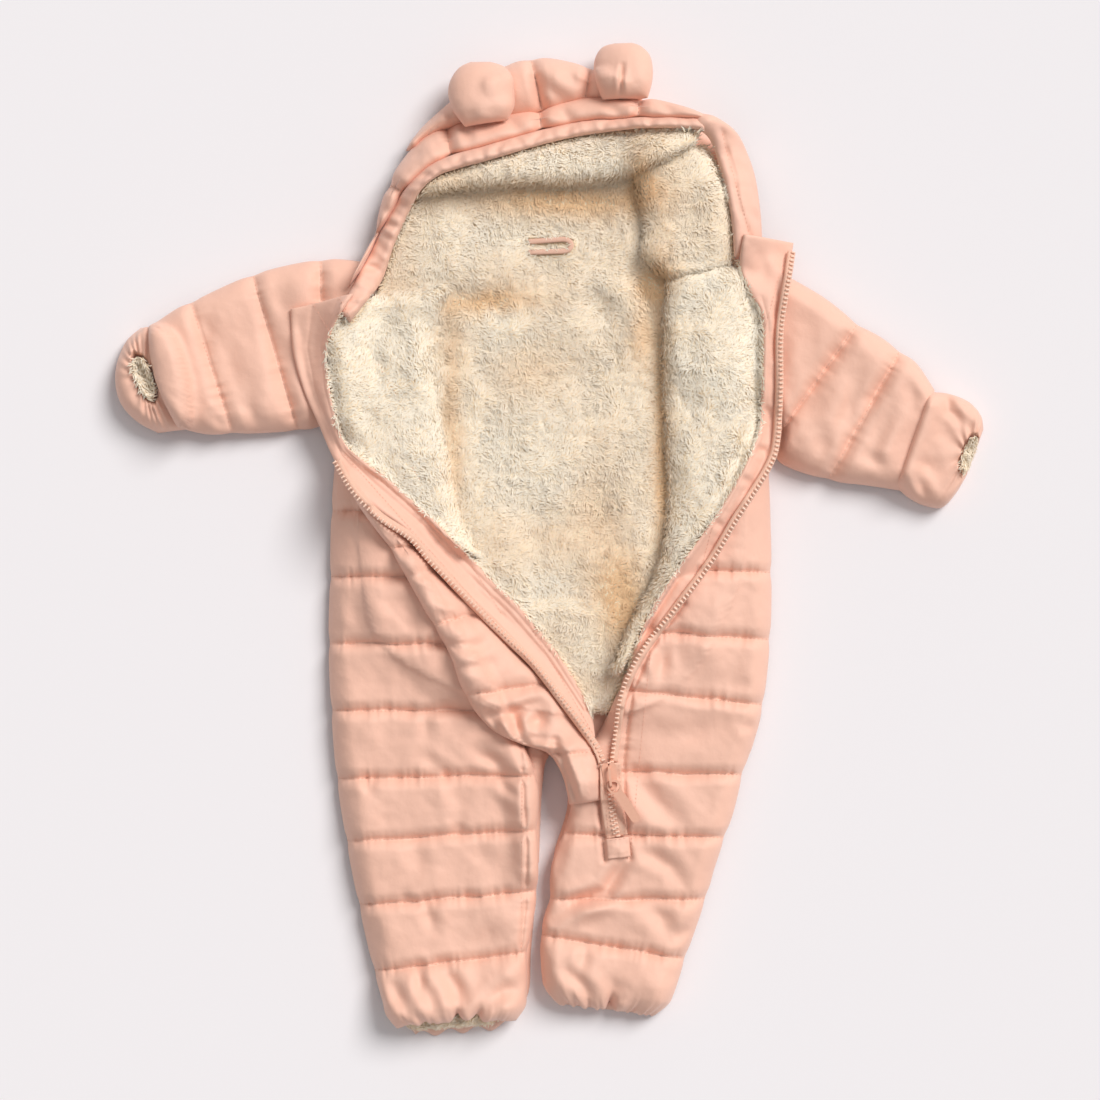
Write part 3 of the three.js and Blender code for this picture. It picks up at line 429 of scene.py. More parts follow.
MID = 0.3       # half the gap at the centre back seam
BACK_LEFT = [
    (-141.5, 204, -MID, 204), (-150, 130, -MID, 130), (-157.5, 66, -MID, 66), (-161, 10, -MID, 10),
    (-162, -55, -MID, -55), (-162, -116, -MID, -118), (-158, -160, -2.2, -148),
    (-150, -218, -8, -206), (-139, -266, -10, -255), (-128, -313, -14, -302),
    (-121, -342, -17, -336), (-106, -364, -38, -358),
]
BACK_RIGHT = [
    (MID, 204, 171, 204), (MID, 130, 170, 130), (MID, 66, 168, 64), (MID, 10, 163, 8),
    (MID, -55, 163, -57), (MID, -118, 156, -116), (2.2, -146, 148, -150), (13, -190, 136, -198),
    (3, -230, 122, -236), (0, -265, 112, -270), (-6, -300, 99, -306), (-4, -326, 90, -333),
    (10, -341, 76, -349),
]
SLEEVE_LEFT = [
    (-135.8, 205, -150.6, 84), (-168, 207, -166, 84, 1), (-218, 196, -185, 81, 1),
    (-265, 174, -234, 79, 1), (-294, 156, -272, 80), (-312, 140, -296, 88),
    (-319, 126, -311, 100),
]
SLEEVE_RIGHT = [
    (164.8, 200, 163.8, 112), (200, 180, 164.5, 94), (226, 160, 167, 77, 1),
    (243, 150, 169, 58), (257, 140, 204, 45, 1), (270, 130, 232, 41), (282.5, 111, 258, 37),
]
HOOD_BACK = [
    (-132, 204.5, 146, 204.5), (-124, 245, 148, 245), (-112, 274, 142, 274),
    (-88, 304, 122, 302), (-52, 334, 74, 324), (-14, 350, 34, 344),
]
hidden = {"pad": 9, "seam": 3.5, "stitch": 9, "grid": 3.2, "lines": [], "rough": 0.3, "coarse": 3}
lay_together(
    lambda: lay("back_left", BACK_LEFT, **hidden, edge=14, inset=(7, 0), ends=(False, True),
                warp=lambda u, gone: (0 * u * gone,
                                      2.2 * np.sin(u * 19) * np.exp(-gone / 9))),
    lambda: lay("back_right", BACK_RIGHT, **hidden, edge=14, inset=(0, 7), ends=(False, True)),
    lambda: lay("sleeve_left_back", SLEEVE_LEFT, **hidden, inset=(6, 6), ends=(False, True)),
    lambda: lay("sleeve_right_back", SLEEVE_RIGHT, **hidden, inset=(6, 6)),
    lambda: lay("hood_back", HOOD_BACK, **hidden, edge=14, inset=(7, 7), ends=(False, True)),
)

# Lining of the back and of the back of the hood: curly cream fleece, a knitted ground with a
# pile of soft locks, laid inside the shell and seen through the opening.
fleece, shader, place = new_cloth("cream_fleece", 0.95, sheen=0.15)
locks = place.noise(420, 3, 0.6)
drift = place.noise(22, 2)
colour = place.mix(locks, linear(249, 228, 194), linear(254, 242, 220))
colour = place.mix(drift * 0.3, colour, linear(226, 205, 170))
colour.feed(shader, "Base Color")
bump = place.node("ShaderNodeBump", {"Strength": 0.8, "Distance": 0.002, "Height": locks})
bump.feed(shader, "Normal")

BACK_LINING = [
    (-74, 282, 108, 288), (-104, 252, 128, 252), (-118, 226, 134, 226), (-122, 204, 136, 204),
    (-136, 130, 142, 130), (-140, 50, 142, 50), (-138, -20, 140, -20), (-122, -75, 118, -75),
    (-60, -112, 92, -110), (14, -127, 60, -125),
]
fluff = {"material": fleece, "slot": "fleece", "lines": [], "grid": 2.2, "rough": 1.8}
lay_over(
    "back_lining", BACK_LINING, pad=10, seam=7, **{**fluff, "grid": 2.9}, edge=14,
    ends=(True, True), settle=8,
    nodes=["back_lining", "hood_lining_back"],
    creases=[([(-40, 190), (20, 150), (60, 120)], 16, 1.6), ([(-60, 60), (-20, -30)], 18, 1.6),
             ([(30, 90), (40, 0)], 16, -1.4), ([(58, 198), (72, 176), (78, 146)], 7, -2.6),
             ([(40, 192), (56, 164), (68, 120)], 10, 2.2),
             ([(-8, 178), (30, 188), (58, 178)], 9, 1.6),
             ([(-84, 184), (-50, 172), (-18, 176)], 9, -1.8),
             ([(-90, 206), (-40, 200), (10, 208)], 12, 1.4)])

# Crotch gusset: one small padded piece of shell cloth between the legs. Its tails run down the
# inside of both legs, held by the leg seams.
GUSSET = [
    (-15, -236, -8, -236), (-18, -206, -7, -206), (-20, -184, -6, -186), (-20, -164, -4, -166),
    (-19, -149, -1, -158), (-8, -139, 0, -156), (5, -142, 4, -156), (13, -160, 8, -168),
    (20, -184, 14, -186),
]
lay_over("crotch_gusset", GUSSET, pad=12, seam=5, edge=7, rough=0.6, fill=0.5,
         gathers=[(23, 0.03)])

# Sleeves: a quilted front of shell cloth over wadding on each, set into the armhole. The left one
# ends in a mitten flap beside its gathered cuff, the right one in a turned-back cuff, and fleece
# shows in the mouth of both.
def oval(x, y, wide, tall, turn, count):
    """Rows across an oval pad, from its foot to its crown."""
    rows = []
    turn = math.radians(turn)
    for k in range(count):
        rise = -math.cos(math.pi * (k + 0.35) / (count - 0.3))
        half = math.sqrt(max(0, 1 - abs(rise) ** 2.4))
        row = []
        for side in (-1, 1):
            px, py = side * half * wide / 2, rise * tall / 2
            row += [x + px * math.cos(turn) - py * math.sin(turn),
                    y + px * math.sin(turn) + py * math.cos(turn)]
        rows.append(row)
    return rows


CUFF_RIGHT = [
    (277, 109.2, 253, 40.5), (290, 109, 265, 31), (301, 106, 276, 26), (310, 101, 288, 24.5),
    (317, 92, 297, 33), (319, 82, 306, 47),
]
CUFF_LEFT = [
    (-301, 157, -287, 157), (-311, 148, -276, 150), (-317, 136, -270, 140),
    (-319.5, 122, -266, 128), (-318, 108, -263, 115), (-312, 96, -262, 102),
    (-301, 86, -262, 91), (-288, 79.5, -266, 82),
]


def opening(middle_x, middle_y, wide, tall, turn, deep, waves, seed):
    """The mouth of a cuff sunk into its cloth, with the gathers of the elastic round it."""
    turn = math.radians(turn)

    def shape(x, y, u, gone):
        dx, dy = x - middle_x, y - middle_y
        px = dx * math.cos(turn) + dy * math.sin(turn)
        py = dy * math.cos(turn) - dx * math.sin(turn)
        out = np.hypot(px / wide, py / tall)
        angle = np.arctan2(py / tall, px / wide)
        uneven = grain(30 * np.cos(angle), 30 * np.sin(angle), 9, seed)
        inside = np.clip((1.18 + 0.08 * uneven - out) / 0.3, 0, 1)
        fold = np.cos(waves * angle + 2.5 * grain(20 * np.cos(angle), 20 * np.sin(angle), 11, seed))
        edge = (out - 1) * wide
        gathers = (1.5 * fold + 1.6 * uneven) * np.exp(-np.maximum(0, edge) / 7)
        return gathers * (edge > -1) - deep * inside ** 1.5
    return shape


ground = {"material": fleece, "slot": "fleece", "lines": [], "rough": 0.8, "seam": 4, "edge": 6}
lay_together(
    lambda: lay("cuff_left", CUFF_LEFT, pad=17, seam=7, edge=12, grid=0.9, lines=[],
                ends=(True, True), fill=0.6, shape=opening(-296, 119, 6.5, 18, 20, 15, 17, 81)),
    lambda: lay("sleeve_right_front", SLEEVE_RIGHT, pad=15, seam=4.5, stitch=6, rough=1.5,
                creases=[
                    ([(200, 160), (188, 125)], 9, 1.5), ([(226, 118), (214, 92)], 6, -2.2),
                    ([(250, 100), (236, 66)], 8, -1.6), ([(200, 78), (196, 60)], 6, -2.0),
                    ([(240, 112), (222, 96), (214, 84)], 6, -2.2),
                    ([(196, 108), (186, 88)], 7, -1.8), ([(232, 62), (246, 52)], 5, -1.8),
                    ([(256, 92), (246, 72), (242, 56)], 6, 1.6),
                    ([(180, 150), (176, 120)], 7, 1.6), ([(262, 116), (268, 98)], 6, -1.4)]),
    lambda: lay("cuff_right", CUFF_RIGHT, pad=22, seam=7, edge=13, grid=0.9, lines=[],
                ends=(False, True), end_round=10, fill=0.6,
                nodes=["cuff_right_band", "cuff_right"],
                shape=opening(306.6, 63.5, 5.5, 14.5, -19, 19, 13, 82),
                creases=[([(284, 100), (296, 92), (304, 84)], 4, -1.8),
                         ([(266, 60), (280, 52)], 5, -1.4), ([(268, 46), (276, 31)], 4, -1.8),
                         ([(288, 106), (294, 98)], 4, -1.4), ([(280, 78), (288, 58)], 6, 1.2),
                         ([(296, 108), (300, 99)], 4, 1.4)]),
)
lay_together(
    lambda: lay("cuff_left_lining", oval(-296, 119, 12, 33, 20, 9), pad=9, **ground),
    lambda: lay("cuff_right_lining", oval(306.6, 63.5, 9, 27, -19, 9), pad=13, **ground),
)
SLEEVE_LEFT_FRONT = SLEEVE_LEFT[:3] + [
    (-263, 176, -232, 78.5, 1), (-280, 167, -253, 78.5), (-293, 158, -272, 83),
]
lay_over(
    "sleeve_left_front", SLEEVE_LEFT_FRONT, pad=14, seam=4.5, stitch=7, rough=1.5,
    nodes=["sleeve_left_front", "mitten_flap_left"], ends=(False, True), end_round=8, settle=8,
    warp=lambda u, gone: (-6 * np.sin(np.pi * u) * np.exp(-gone / 14), 0 * u * gone),
    creases=[([(-200, 188), (-192, 160)], 8, -1.6), ([(-240, 150), (-228, 110)], 9, -1.4),
             ([(-210, 120), (-205, 95)], 7, 1.3), ([(-180, 165), (-172, 140)], 7, -1.6),
             ([(-176, 122), (-166, 100)], 7, -1.8), ([(-276, 140), (-268, 108)], 8, 1.3),
             ([(-252, 166), (-248, 146)], 6, -1.6), ([(-222, 100), (-214, 84)], 5, -1.6),
             ([(-246, 92), (-238, 82)], 4, -1.6), ([(-198, 150), (-190, 126)], 8, -1.2)])

# Lining of the left leg: the edge of its fleece peeks out under the gathered hem that it is
# sewn to.
HEM_LINING = [
    (-112, -344, -30, -340), (-109, -351, -33, -347), (-101, -358, -44, -354),
]
lay_over("hem_lining_left", HEM_LINING, pad=9, **ground)

# Fronts of the body and legs: shell over wadding, quilted straight across about every 48 mm,
# each leg gathered at the foot by a narrow elastic.
FRONT_LEFT = [
    (-158, 60, -140, 58), (-161, 22, -124, 22, 1), (-162, -26, -88, -26, 1),
    (-163, -75, -58, -75, 1), (-161, -124, -32, -124, 1), (-157, -174, -10, -171, 1),
    (-150, -220, -9, -211, 1), (-141, -267, -9, -256, 1), (-130, -315, -16, -301, 1),
]
FRONT_RIGHT = [
    (150, 66, 160, 64), (122, 22, 162, 20), (90, -21, 163, -23, 1), (66, -66, 162, -72, 1),
    (50, -108, 157, -120, 1), (34, -142, 150, -148), (12, -156, 146, -159),
    (11, -168, 142, -171, 1), (15, -194, 135, -199), (9, -214, 129, -217, 1),
    (1, -238, 121, -241), (-1, -262, 115, -262, 1), (-7, -288, 100, -306, 1),
]
LEFT_CREASES = [
    ([(-91, -126), (-90, -143)], 5, -1.6), ([(-127, -42), (-119, -65)], 9, 1.4),
    ([(-146, -80), (-150, -99)], 8, -1.2), ([(-102, -45), (-95, -70)], 9, -1.5),
    ([(-161, -63), (-139, -75)], 7, -1.2), ([(-134, -131), (-130, -153)], 8, 1.2),
    ([(-92, -157), (-71, -174)], 5, -1.6), ([(-134, -173), (-131, -185)], 4, -1.4),
    ([(-54, -153), (-39, -162), (-27, -172)], 5, -2.6), ([(-39, -173), (-23, -188)], 4, -1.8),
    ([(-82, -178), (-77, -195)], 6, 1.5), ([(-66, -204), (-68, -216)], 5, -1.6),
    ([(-127, -187), (-144, -209)], 9, 1.3), ([(-39, -181), (-16, -194)], 6, 1.4),
    ([(-100, -221), (-95, -240)], 7, -1.5), ([(-56, -218), (-44, -240)], 8, -1.6),
    ([(-78, -238), (-102, -263)], 8, 1.3), ([(-29, -228), (-39, -252)], 8, -1.2),
    ([(-92, -266), (-84, -283)], 5, -1.8), ([(-107, -257), (-102, -267)], 4, -1.5),
    ([(-46, -267), (-19, -286)], 9, 1.5), ([(-58, -299), (-39, -286)], 7, -1.4),
    ([(-131, -274), (-127, -301)], 8, -1.2), ([(-96, -309), (-94, -328)], 4, -2.4),
    ([(-116, -320), (-110, -333), (-101, -346)], 5, -3.0),
    ([(-90, -325), (-82, -346)], 5, -2.0), ([(-79, -309), (-71, -323), (-61, -339)], 6, -3.2),
    ([(-54, -345), (-39, -333), (-22, -324)], 6, -2.8), ([(-43, -318), (-24, -313)], 7, 1.6),
    ([(-127, -316), (-120, -345)], 7, 2.2),
]
RIGHT_CREASES = [
    ([(83, -77), (80, -99)], 5, -2.4), ([(112, -70), (117, -89)], 9, 1.3),
    ([(129, -104), (148, -111)], 8, -1.3), ([(92, -128), (117, -121), (148, -111)], 9, 1.5),
    ([(141, -133), (148, -138)], 5, -1.6), ([(64, -89), (71, -104)], 4, -1.6),
    ([(83, -145), (117, -136)], 9, -1.2), ([(54, -160), (66, -179), (83, -194), (97, -209)], 8, -2.6),
    ([(54, -177), (68, -204), (90, -215)], 7, 1.6),
    ([(57, -221), (75, -230), (88, -238), (99, -252)], 6, -2.4),
    ([(56, -232), (41, -256), (22, -263), (2, -274)], 5.5, -5.0),
    ([(44, -262), (17, -271)], 7, 2.0), ([(68, -264), (80, -274), (90, -288)], 7, -2.6),
    ([(102, -282), (90, -291)], 5, -2.0), ([(17, -269), (68, -267)], 12, 1.6),
    ([(10, -311), (19, -320), (33, -333)], 5, -2.8), ([(27, -296), (22, -316)], 5, -2.0),
    ([(-5, -301), (0, -333)], 5, -1.8), ([(39, -316), (54, -337)], 7, -1.6),
    ([(68, -311), (78, -337)], 9, 1.5), ([(45, -337), (47, -345)], 4, -2.6),
    ([(2, -245), (6, -228), (10, -211)], 5, -1.6), ([(19, -174), (19, -191)], 4, -2.0),
    ([(17, -196), (36, -182)], 5, -1.8), ([(12, -154), (17, -174), (19, -189)], 3.5, -2.2),
]
HEM_LEFT = [(-123, -338.4, -17, -331.4), (-120, -348, -18, -342), (-112, -357, -25, -352)]
HEM_RIGHT = [(-6, -319.4, 91, -333.4), (-3, -330, 87, -341), (6, -341, 77, -349)]
LEFT_PINCHES = [(0.10, 0.05, -2.6), (0.25, 0.04, -2.2), (0.51, 0.035, -6.0), (0.67, 0.04, -5.5),
                (0.86, 0.05, -1.8)]
RIGHT_PINCHES = [(0.10, 0.05, -2.6), (0.22, 0.03, -2.2), (0.33, 0.03, -2.0), (0.53, 0.035, -7.5),
                 (0.76, 0.05, -1.8)]


def gathered(pinches, seed):
    """Folds that the elastic draws up from the end of a leg."""
    def shape(x, y, u, gone):
        height = 3.6 * np.exp(-((gone - 24) / 16) ** 2)
        for at, wide, depth in pinches:
            spread = wide * (1 + gone / 22)
            height = height + depth * np.exp(-((u - at) / spread) ** 2) * np.exp(-gone / 15)
            ridge = np.exp(-((u - at - 2 * spread) / spread) ** 2)
            height = height - 0.3 * depth * ridge * np.exp(-gone / 12)
        frill = grain(u * 160 + 0 * gone, 0 * u + gone / 9, 4.5, seed)
        return height + 1.3 * frill * np.exp(-gone / 10)
    return shape


def drawn_up(pinches, middle, seed):
    """How far the elastic draws the edge of a leg up at each pinch."""
    def warp(u, gone):
        up = middle * np.sin(np.pi * u) ** 1.5
        for at, wide, depth in pinches:
            up = up - 0.95 * depth * np.exp(-((u - at) / (wide * 0.9)) ** 2)
        up = up + 0.9 * grain(u * 160 + 0 * gone, 0 * gone + 0 * u, 5, seed)
        return 0 * up * gone, up * np.exp(-gone / 12)
    return warp


front = {"pad": 16, "seam": 4.5, "stitch": 9, "valley": 9, "rough": 1.6, "grid": 1.2,
         "rests_on": ["back_left", "back_right"]}
lay_together(
    lambda: lay("front_left", FRONT_LEFT + HEM_LEFT, **front, creases=LEFT_CREASES,
                nodes=["front_left", "hem_left"], ends=(False, True), end_round=17,
                shape=gathered(LEFT_PINCHES, 61), warp=drawn_up(LEFT_PINCHES, 3.5, 62),
                seams=[[(-20, -166), (-19, -191), (-17, -212), (-17, -232), (-17, -254),
                        (-21, -299)]]),
    lambda: lay("front_right", FRONT_RIGHT + HEM_RIGHT, **front, creases=RIGHT_CREASES,
                nodes=["front_right", "hem_right"], ends=(False, True), end_round=17,
                shape=gathered(RIGHT_PINCHES, 63), warp=drawn_up(RIGHT_PINCHES, 0.5, 64),
                seams=[[(97, -46), (72, -80), (60, -109), (56, -137), (53.5, -161), (54, -185),
                        (56, -205), (58.5, -232)],
                       [(36, -165), (36, -190), (38, -215), (40, -233)]]),
)

# Left front edge: quilted shell cloth that folds over itself outside the zip, down to the crotch,
# where its folds gather.
FRONT_LEFT_EDGE = [
    (-153, 54, -147, 50), (-140, 27, -128, 23), (-117, -5, -96, -4, 1), (-99, -36, -72, -32),
    (-85, -61, -50, -52, 1), (-72, -84, -26, -80), (-62, -112, -2, -104, 1),
    (-44, -136, 14, -126), (-21, -148, 28, -142), (-2, -155, 35, -153, 1),
    (9, -171, 39, -169), (14, -192, 42, -188),
]
EDGE_CREASES = [
    ([(-122, 6), (-112, 2), (-104, 3)], 4, -2.2), ([(-114, -2), (-103, -12)], 4, -2.6),
    ([(-94, -22), (-84, -22)], 4, -2.0), ([(-88, -36), (-69, -47)], 5, -2.6),
    ([(-84, -50), (-69, -57)], 4, -2.2), ([(-76, -80), (-58, -78), (-42, -72)], 5, -2.4),
    ([(-70, -92), (-47, -90)], 4, -2.2), ([(-60, -118), (-48, -112)], 4, -2.2),
    ([(-52, -128), (-32, -127), (-4, -115)], 4, -2.6), ([(-28, -124), (-21, -146)], 4.5, -3.6),
    ([(-20, -149), (-13, -144), (0, -145)], 4, -2.8), ([(-6, -122), (-11, -140)], 5, -2.8),
    ([(3, -146), (3, -156)], 3.5, -4.0), ([(5, -145), (11, -166), (19, -190)], 3, -3.6),
    ([(-24, -132), (-16, -134)], 8, 1.8), ([(-3, -128), (10, -132)], 8, 1.8),
    ([(-42, -130), (-33, -146)], 4, -3.2), ([(-36, -100), (-24, -112)], 7, 2.2),
    ([(-56, -122), (-47, -138)], 5, 2.0), ([(12, -150), (20, -148)], 5, 1.8),
    ([(18, -160), (30, -166)], 5, -2.0),
    ([(-60, -66), (-48, -80)], 7, 1.8), ([(-10, -108), (6, -120)], 6, 1.4),
]
lay_over("front_left_edge", FRONT_LEFT_EDGE, pad=16, seam=3.5, edge=17,
         ends=(True, True), end_round=24, creases=EDGE_CREASES, rough=1.5)

# Fleece side of the two fronts: the same curly fleece, sewn to the facings and turned outward
# where the fronts are folded back.
LINING_LEFT = [
    (-164, 172, -76, 186), (-163, 144, -88, 147), (-161, 112, -86, 108), (-152, 72, -77, 64),
    (-118, 42, -71, 32), (-84, 12, -64, 2), (-60, -9, -52, -12),
]
LINING_RIGHT = [
    (86, 197, 145, 201), (85, 172, 158, 174), (83, 139, 158, 139), (84, 100, 156, 100),
    (86, 60, 147, 62), (86, 15, 120, 16), (78, -26, 92, -22),
    (65, -50, 77, -47), (53, -75, 62, -73), (45, -97, 50, -96),
]
lay_over("lining_left", LINING_LEFT, pad=14, seam=9, **fluff, ends=(True, True))
lay_over("lining_right", LINING_RIGHT, pad=17, seam=9, **fluff,
         ends=(True, True), creases=[
             ([(151, 139), (146, 90), (134, 45), (110, 8), (80, -26)], 4, -2.4),
             ([(110, 150), (120, 100), (112, 60)], 14, 1.8),
             ([(92, 120), (104, 80)], 9, -1.4)])

# Hood lining: curly fleece again. The right side swells over the neck, and the top hangs folded
# under the rim that it is sewn to.
HOOD_LINING_RIGHT = [
    (88, 193, 132, 202), (68, 206, 136, 218), (70, 232, 134, 243), (64, 256, 126, 268),
    (60, 278, 114, 290),
]
HOOD_LINING_TOP = [
    (-92, 254, -96, 262), (-58, 259, -62, 278), (-22, 261, -28, 292), (18, 262, 14, 302),
    (50, 266, 54, 308), (78, 276, 92, 310), (104, 288, 114, 304),
]
lay_over("hood_lining_right", HOOD_LINING_RIGHT, pad=16, seam=9, **fluff,
         ends=(True, False))
lay_over("hood_lining_top", HOOD_LINING_TOP, pad=14, seam=9, **fluff,
         ends=(True, True))

# Hood shell: a quilted crown, a quilted brow in front of it, an elasticated rim, and the strip
# that turns down the right side.
HOOD_CROWN = [
    (-106, 287, -102, 286.5), (-99.5, 297.5, -95, 294.3), (-88, 310, -78, 303),
    (-56, 336, -50, 309.5, 1), (-14, 355, -6, 316.5, 1), (30, 348, 26, 324.5, 1),
    (70, 333, 68, 324.2),
]
HOOD_BROW = [
    (-147, 184, -140, 194), (-131, 222, -124, 227, 1), (-119, 262, -108, 254, 1),
    (-96, 294, -90, 272), (-76, 305, -72, 281, 1), (-50, 310, -48, 288),
    (-8, 317, -6, 300.5, 1), (26, 325, 27, 307.5), (66, 325, 64, 308.5, 1),
    (98, 316, 100, 307.5), (116, 308, 115, 305),
]
HOOD_RIM = [
    (-153, 166, -145, 158), (-140, 193.5, -124, 188), (-124, 226.5, -113, 218),
    (-108, 253.5, -97, 250), (-90, 271.5, -82, 264), (-72, 280.5, -66, 270),
    (-48, 287.5, -44, 276), (-6, 300, -2, 289), (27, 307, 30, 296), (64, 308, 66, 299),
    (101, 307.5, 102, 298), (114, 306, 112, 296),
]
HOOD_SIDE = [
    (107, 310.5, 102, 298), (121, 307.5, 111, 296), (138, 297, 118, 288),
    (149, 274, 125, 266), (154, 245, 131, 238), (156, 214, 134, 206),
]
lay_together(
    lambda: lay("hood_crown", HOOD_CROWN, creases=[
                    ([(-36, 338), (-32, 318)], 5, -1.6), ([(4, 346), (2, 326)], 6, 1.4),
                    ([(14, 340), (22, 330)], 4, -1.6), ([(-76, 316), (-72, 308)], 4, -1.8),
                    ([(-4, 334), (8, 322)], 4, -1.6)], pad=20, seam=6, edge=17, valley=9, stitch=7,
                ends=(True, True), scallop=1.5, inset=(0, -3), end_round=7),
    lambda: lay("hood_brow", HOOD_BROW, creases=[
                    ([(-134, 214), (-128, 206)], 4, -1.8), ([(-122, 244), (-116, 236)], 4, -1.6),
                    ([(-100, 278), (-94, 284)], 4, -1.6), ([(-62, 302), (-58, 290)], 4, -1.8),
                    ([(-30, 308), (-22, 296)], 5, -1.8), ([(8, 314), (16, 304)], 4, -1.6),
                    ([(40, 318), (52, 310)], 4, -1.8), ([(80, 318), (90, 309)], 4, -1.6),
                    ([(-84, 292), (-76, 280)], 4, -1.4), ([(-8, 310), (2, 306)], 5, 1.4)],
                pad=18, seam=6, edge=10, valley=9, stitch=6,
                ends=(True, True), scallop=2.5, inset=(0, -2), rough=1.7, end_round=8),
    lambda: lay("hood_rim", HOOD_RIM, pad=11, seam=6, edge=5, ends=(True, True), lines=[],
                gathers=[(37, 0.06), (13, 0.06)], rough=2.2,
                creases=[([(-150, 168), (-138, 172)], 3, -2.0), ([(-136, 200), (-124, 200)], 3, -2.0),
                         ([(-120, 232), (-108, 228)], 3, -2.0), ([(-94, 262), (-86, 268)], 3, -2.0),
                         ([(-70, 272), (-62, 280)], 3, -2.0), ([(-40, 280), (-34, 290)], 3, -2.0),
                         ([(-14, 286), (-6, 298)], 3, -1.8), ([(10, 294), (18, 304)], 3, -1.8),
                         ([(36, 298), (44, 307)], 3, -1.8), ([(70, 300), (78, 308)], 3, -1.8)]),
    lambda: lay("hood_side_right", HOOD_SIDE, pad=15, seam=5, edge=12, ends=(True, True),
                lines=[], rough=1.4,
                seams=[[(125, 297), (134, 267), (137, 244), (143, 229), (149, 211)]],
                creases=[([(140, 290), (146, 278)], 4, -1.6), ([(148, 262), (153, 250)], 4, -1.8),
                         ([(138, 272), (150, 268)], 5, -1.4), ([(145, 240), (155, 232)], 4, -1.6),
                         ([(124, 300), (132, 290)], 4, -1.6)]),
)

# Facings: a plain woven strip without wadding along each edge of the opening, stitched down
# beside the zip and joined to the fleece.
FACING_LEFT = [
    (-186, 170, -142, 179), (-184, 139, -161, 144), (-176, 110, -160, 112),
    (-165, 85, -155, 88), (-154, 60, -147, 68), (-135, 34, -118, 46), (-100, 6, -84, 15),
    (-74, -25, -53, -17), (-40, -57, -20, -50), (-10, -89, 6, -82), (17, -124, 28, -119),
    (29, -142, 33, -143),
]
FACING_RIGHT = [
    (140, 222, 179, 219), (138, 200, 175, 192), (146, 179, 172, 173), (154, 160, 170, 157),
    (154, 109, 169, 112), (150, 74, 166, 73), (124, 25, 145, 31), (94, -17, 114, -20),
    (75, -46, 92, -49),
    (59, -84, 66, -86), (50, -120, 53, -120),
]
def between(rows, share, first=0, last=None):
    """A line along a strip, a share of the way from its left edge to its right one."""
    return [(a[0] + (a[2] - a[0]) * share, a[1] + (a[3] - a[1]) * share)
            for a in rows[first:last]]


strip = {"pad": 4.2, "seam": 2.4, "edge": 4, "lines": [], "rough": 0.7, "grid": 1.2,
         "pucker": 0.42}
lay_over("facing_left", FACING_LEFT, **strip, inset=(-3.5, 0), seams=[
    between(FACING_LEFT, 0.3, 0, 9), between(FACING_LEFT, 0.75), between(FACING_LEFT, 0.52, 4)],
    creases=[([(-184, 160), (-178, 120), (-170, 96)], 4, -1.2),
             ([(-150, 170), (-158, 146)], 5, 1.4), ([(-112, 20), (-98, 10)], 5, 1.2)])
lay_over("facing_right", FACING_RIGHT, **strip, seams=[
    between(FACING_RIGHT, 0.78, 1), between(FACING_RIGHT, 0.3, 2)],
    creases=[([(165, 198), (168, 170), (164, 135)], 4, -1.6),
             ([(150, 212), (156, 196)], 5, -1.4), ([(158, 120), (161, 92)], 4, 1.3),
             ([(150, 67), (158, 65)], 3, -1.8), ([(156, 98), (161, 92)], 3, -1.4),
             ([(138, 46), (146, 42)], 3, -1.4), ([(118, 15), (125, 10)], 3, -1.4)])

# Zip: woven tape sewn along each edge, closed below the slider and ended by a small patch of
# shell cloth. The loop at the neck is folded from the same tape.
def ribbon(points, width):
    """Rows of a strip of even width along a line of points."""
    rows = []
    for k, (x, y) in enumerate(points):
        before, after = points[max(0, k - 1)], points[min(len(points) - 1, k + 1)]
        dx, dy = after[0] - before[0], after[1] - before[1]
        side = width / 2 / math.hypot(dx, dy)
        rows.append((x - dy * side, y + dx * side, x + dy * side, y - dx * side))
    return rows


tape, shader, place = new_cloth("zip_tape", 0.8)
colour = place.mix(place.noise(700, 2), linear(237, 187, 163), linear(247, 205, 183))
colour.feed(shader, "Base Color")
bump = place.node("ShaderNodeBump", {"Strength": 0.5, "Distance": 0.0003,
                                     "Height": weave(place, 900)})
bump.feed(shader, "Normal")
ZIP_LEFT = [
    (-155, 58), (-141, 36), (-123, 18), (-101, 3), (-86, -14), (-56, -46), (-28, -74),
    (-10, -92), (16, -126), (33, -149), (38, -161),
]
ZIP_RIGHT = [
    (177, 212), (170.5, 178), (167, 150), (167, 110), (165, 74), (158, 53), (135, 17),
    (116, -15), (90, -50), (65.5, -84), (53, -112), (49, -140), (46.5, -161),
]
ZIP_CLOSED = [(44, -161.6), (44.5, -185), (46.5, -203), (49, -216)]
ZIP_PATCH = [(49, -216.5), (50.5, -231)]
LOOP = [
    (-16, 218.6), (0, 219.8), (10, 220.4), (14.5, 218.6), (15.4, 215.4), (12, 212.2),
    (0, 211.4), (-16, 211),
]
woven = {"pad": 3.2, "seam": 1.6, "edge": 3, "lines": [], "rough": 0.15, "grid": 1.0,
         "material": tape, "slot": "zip_tape"}
lay_over("hanging_loop", ribbon(LOOP, 3.8), **{
    **woven, "pad": 1.6, "seam": 1.2, "edge": 1.4, "grid": 0.7},
    ends=(True, True), end_round=2)
lay_over("zip_left", ribbon(ZIP_LEFT, 6), **woven)
lay_over("zip_right", ribbon(ZIP_RIGHT, 6), **woven)
lay_over("zip_closed", ribbon(ZIP_CLOSED, 16), **woven, seams=[
    between(ribbon(ZIP_CLOSED, 16), 0.13), between(ribbon(ZIP_CLOSED, 16), 0.87)])
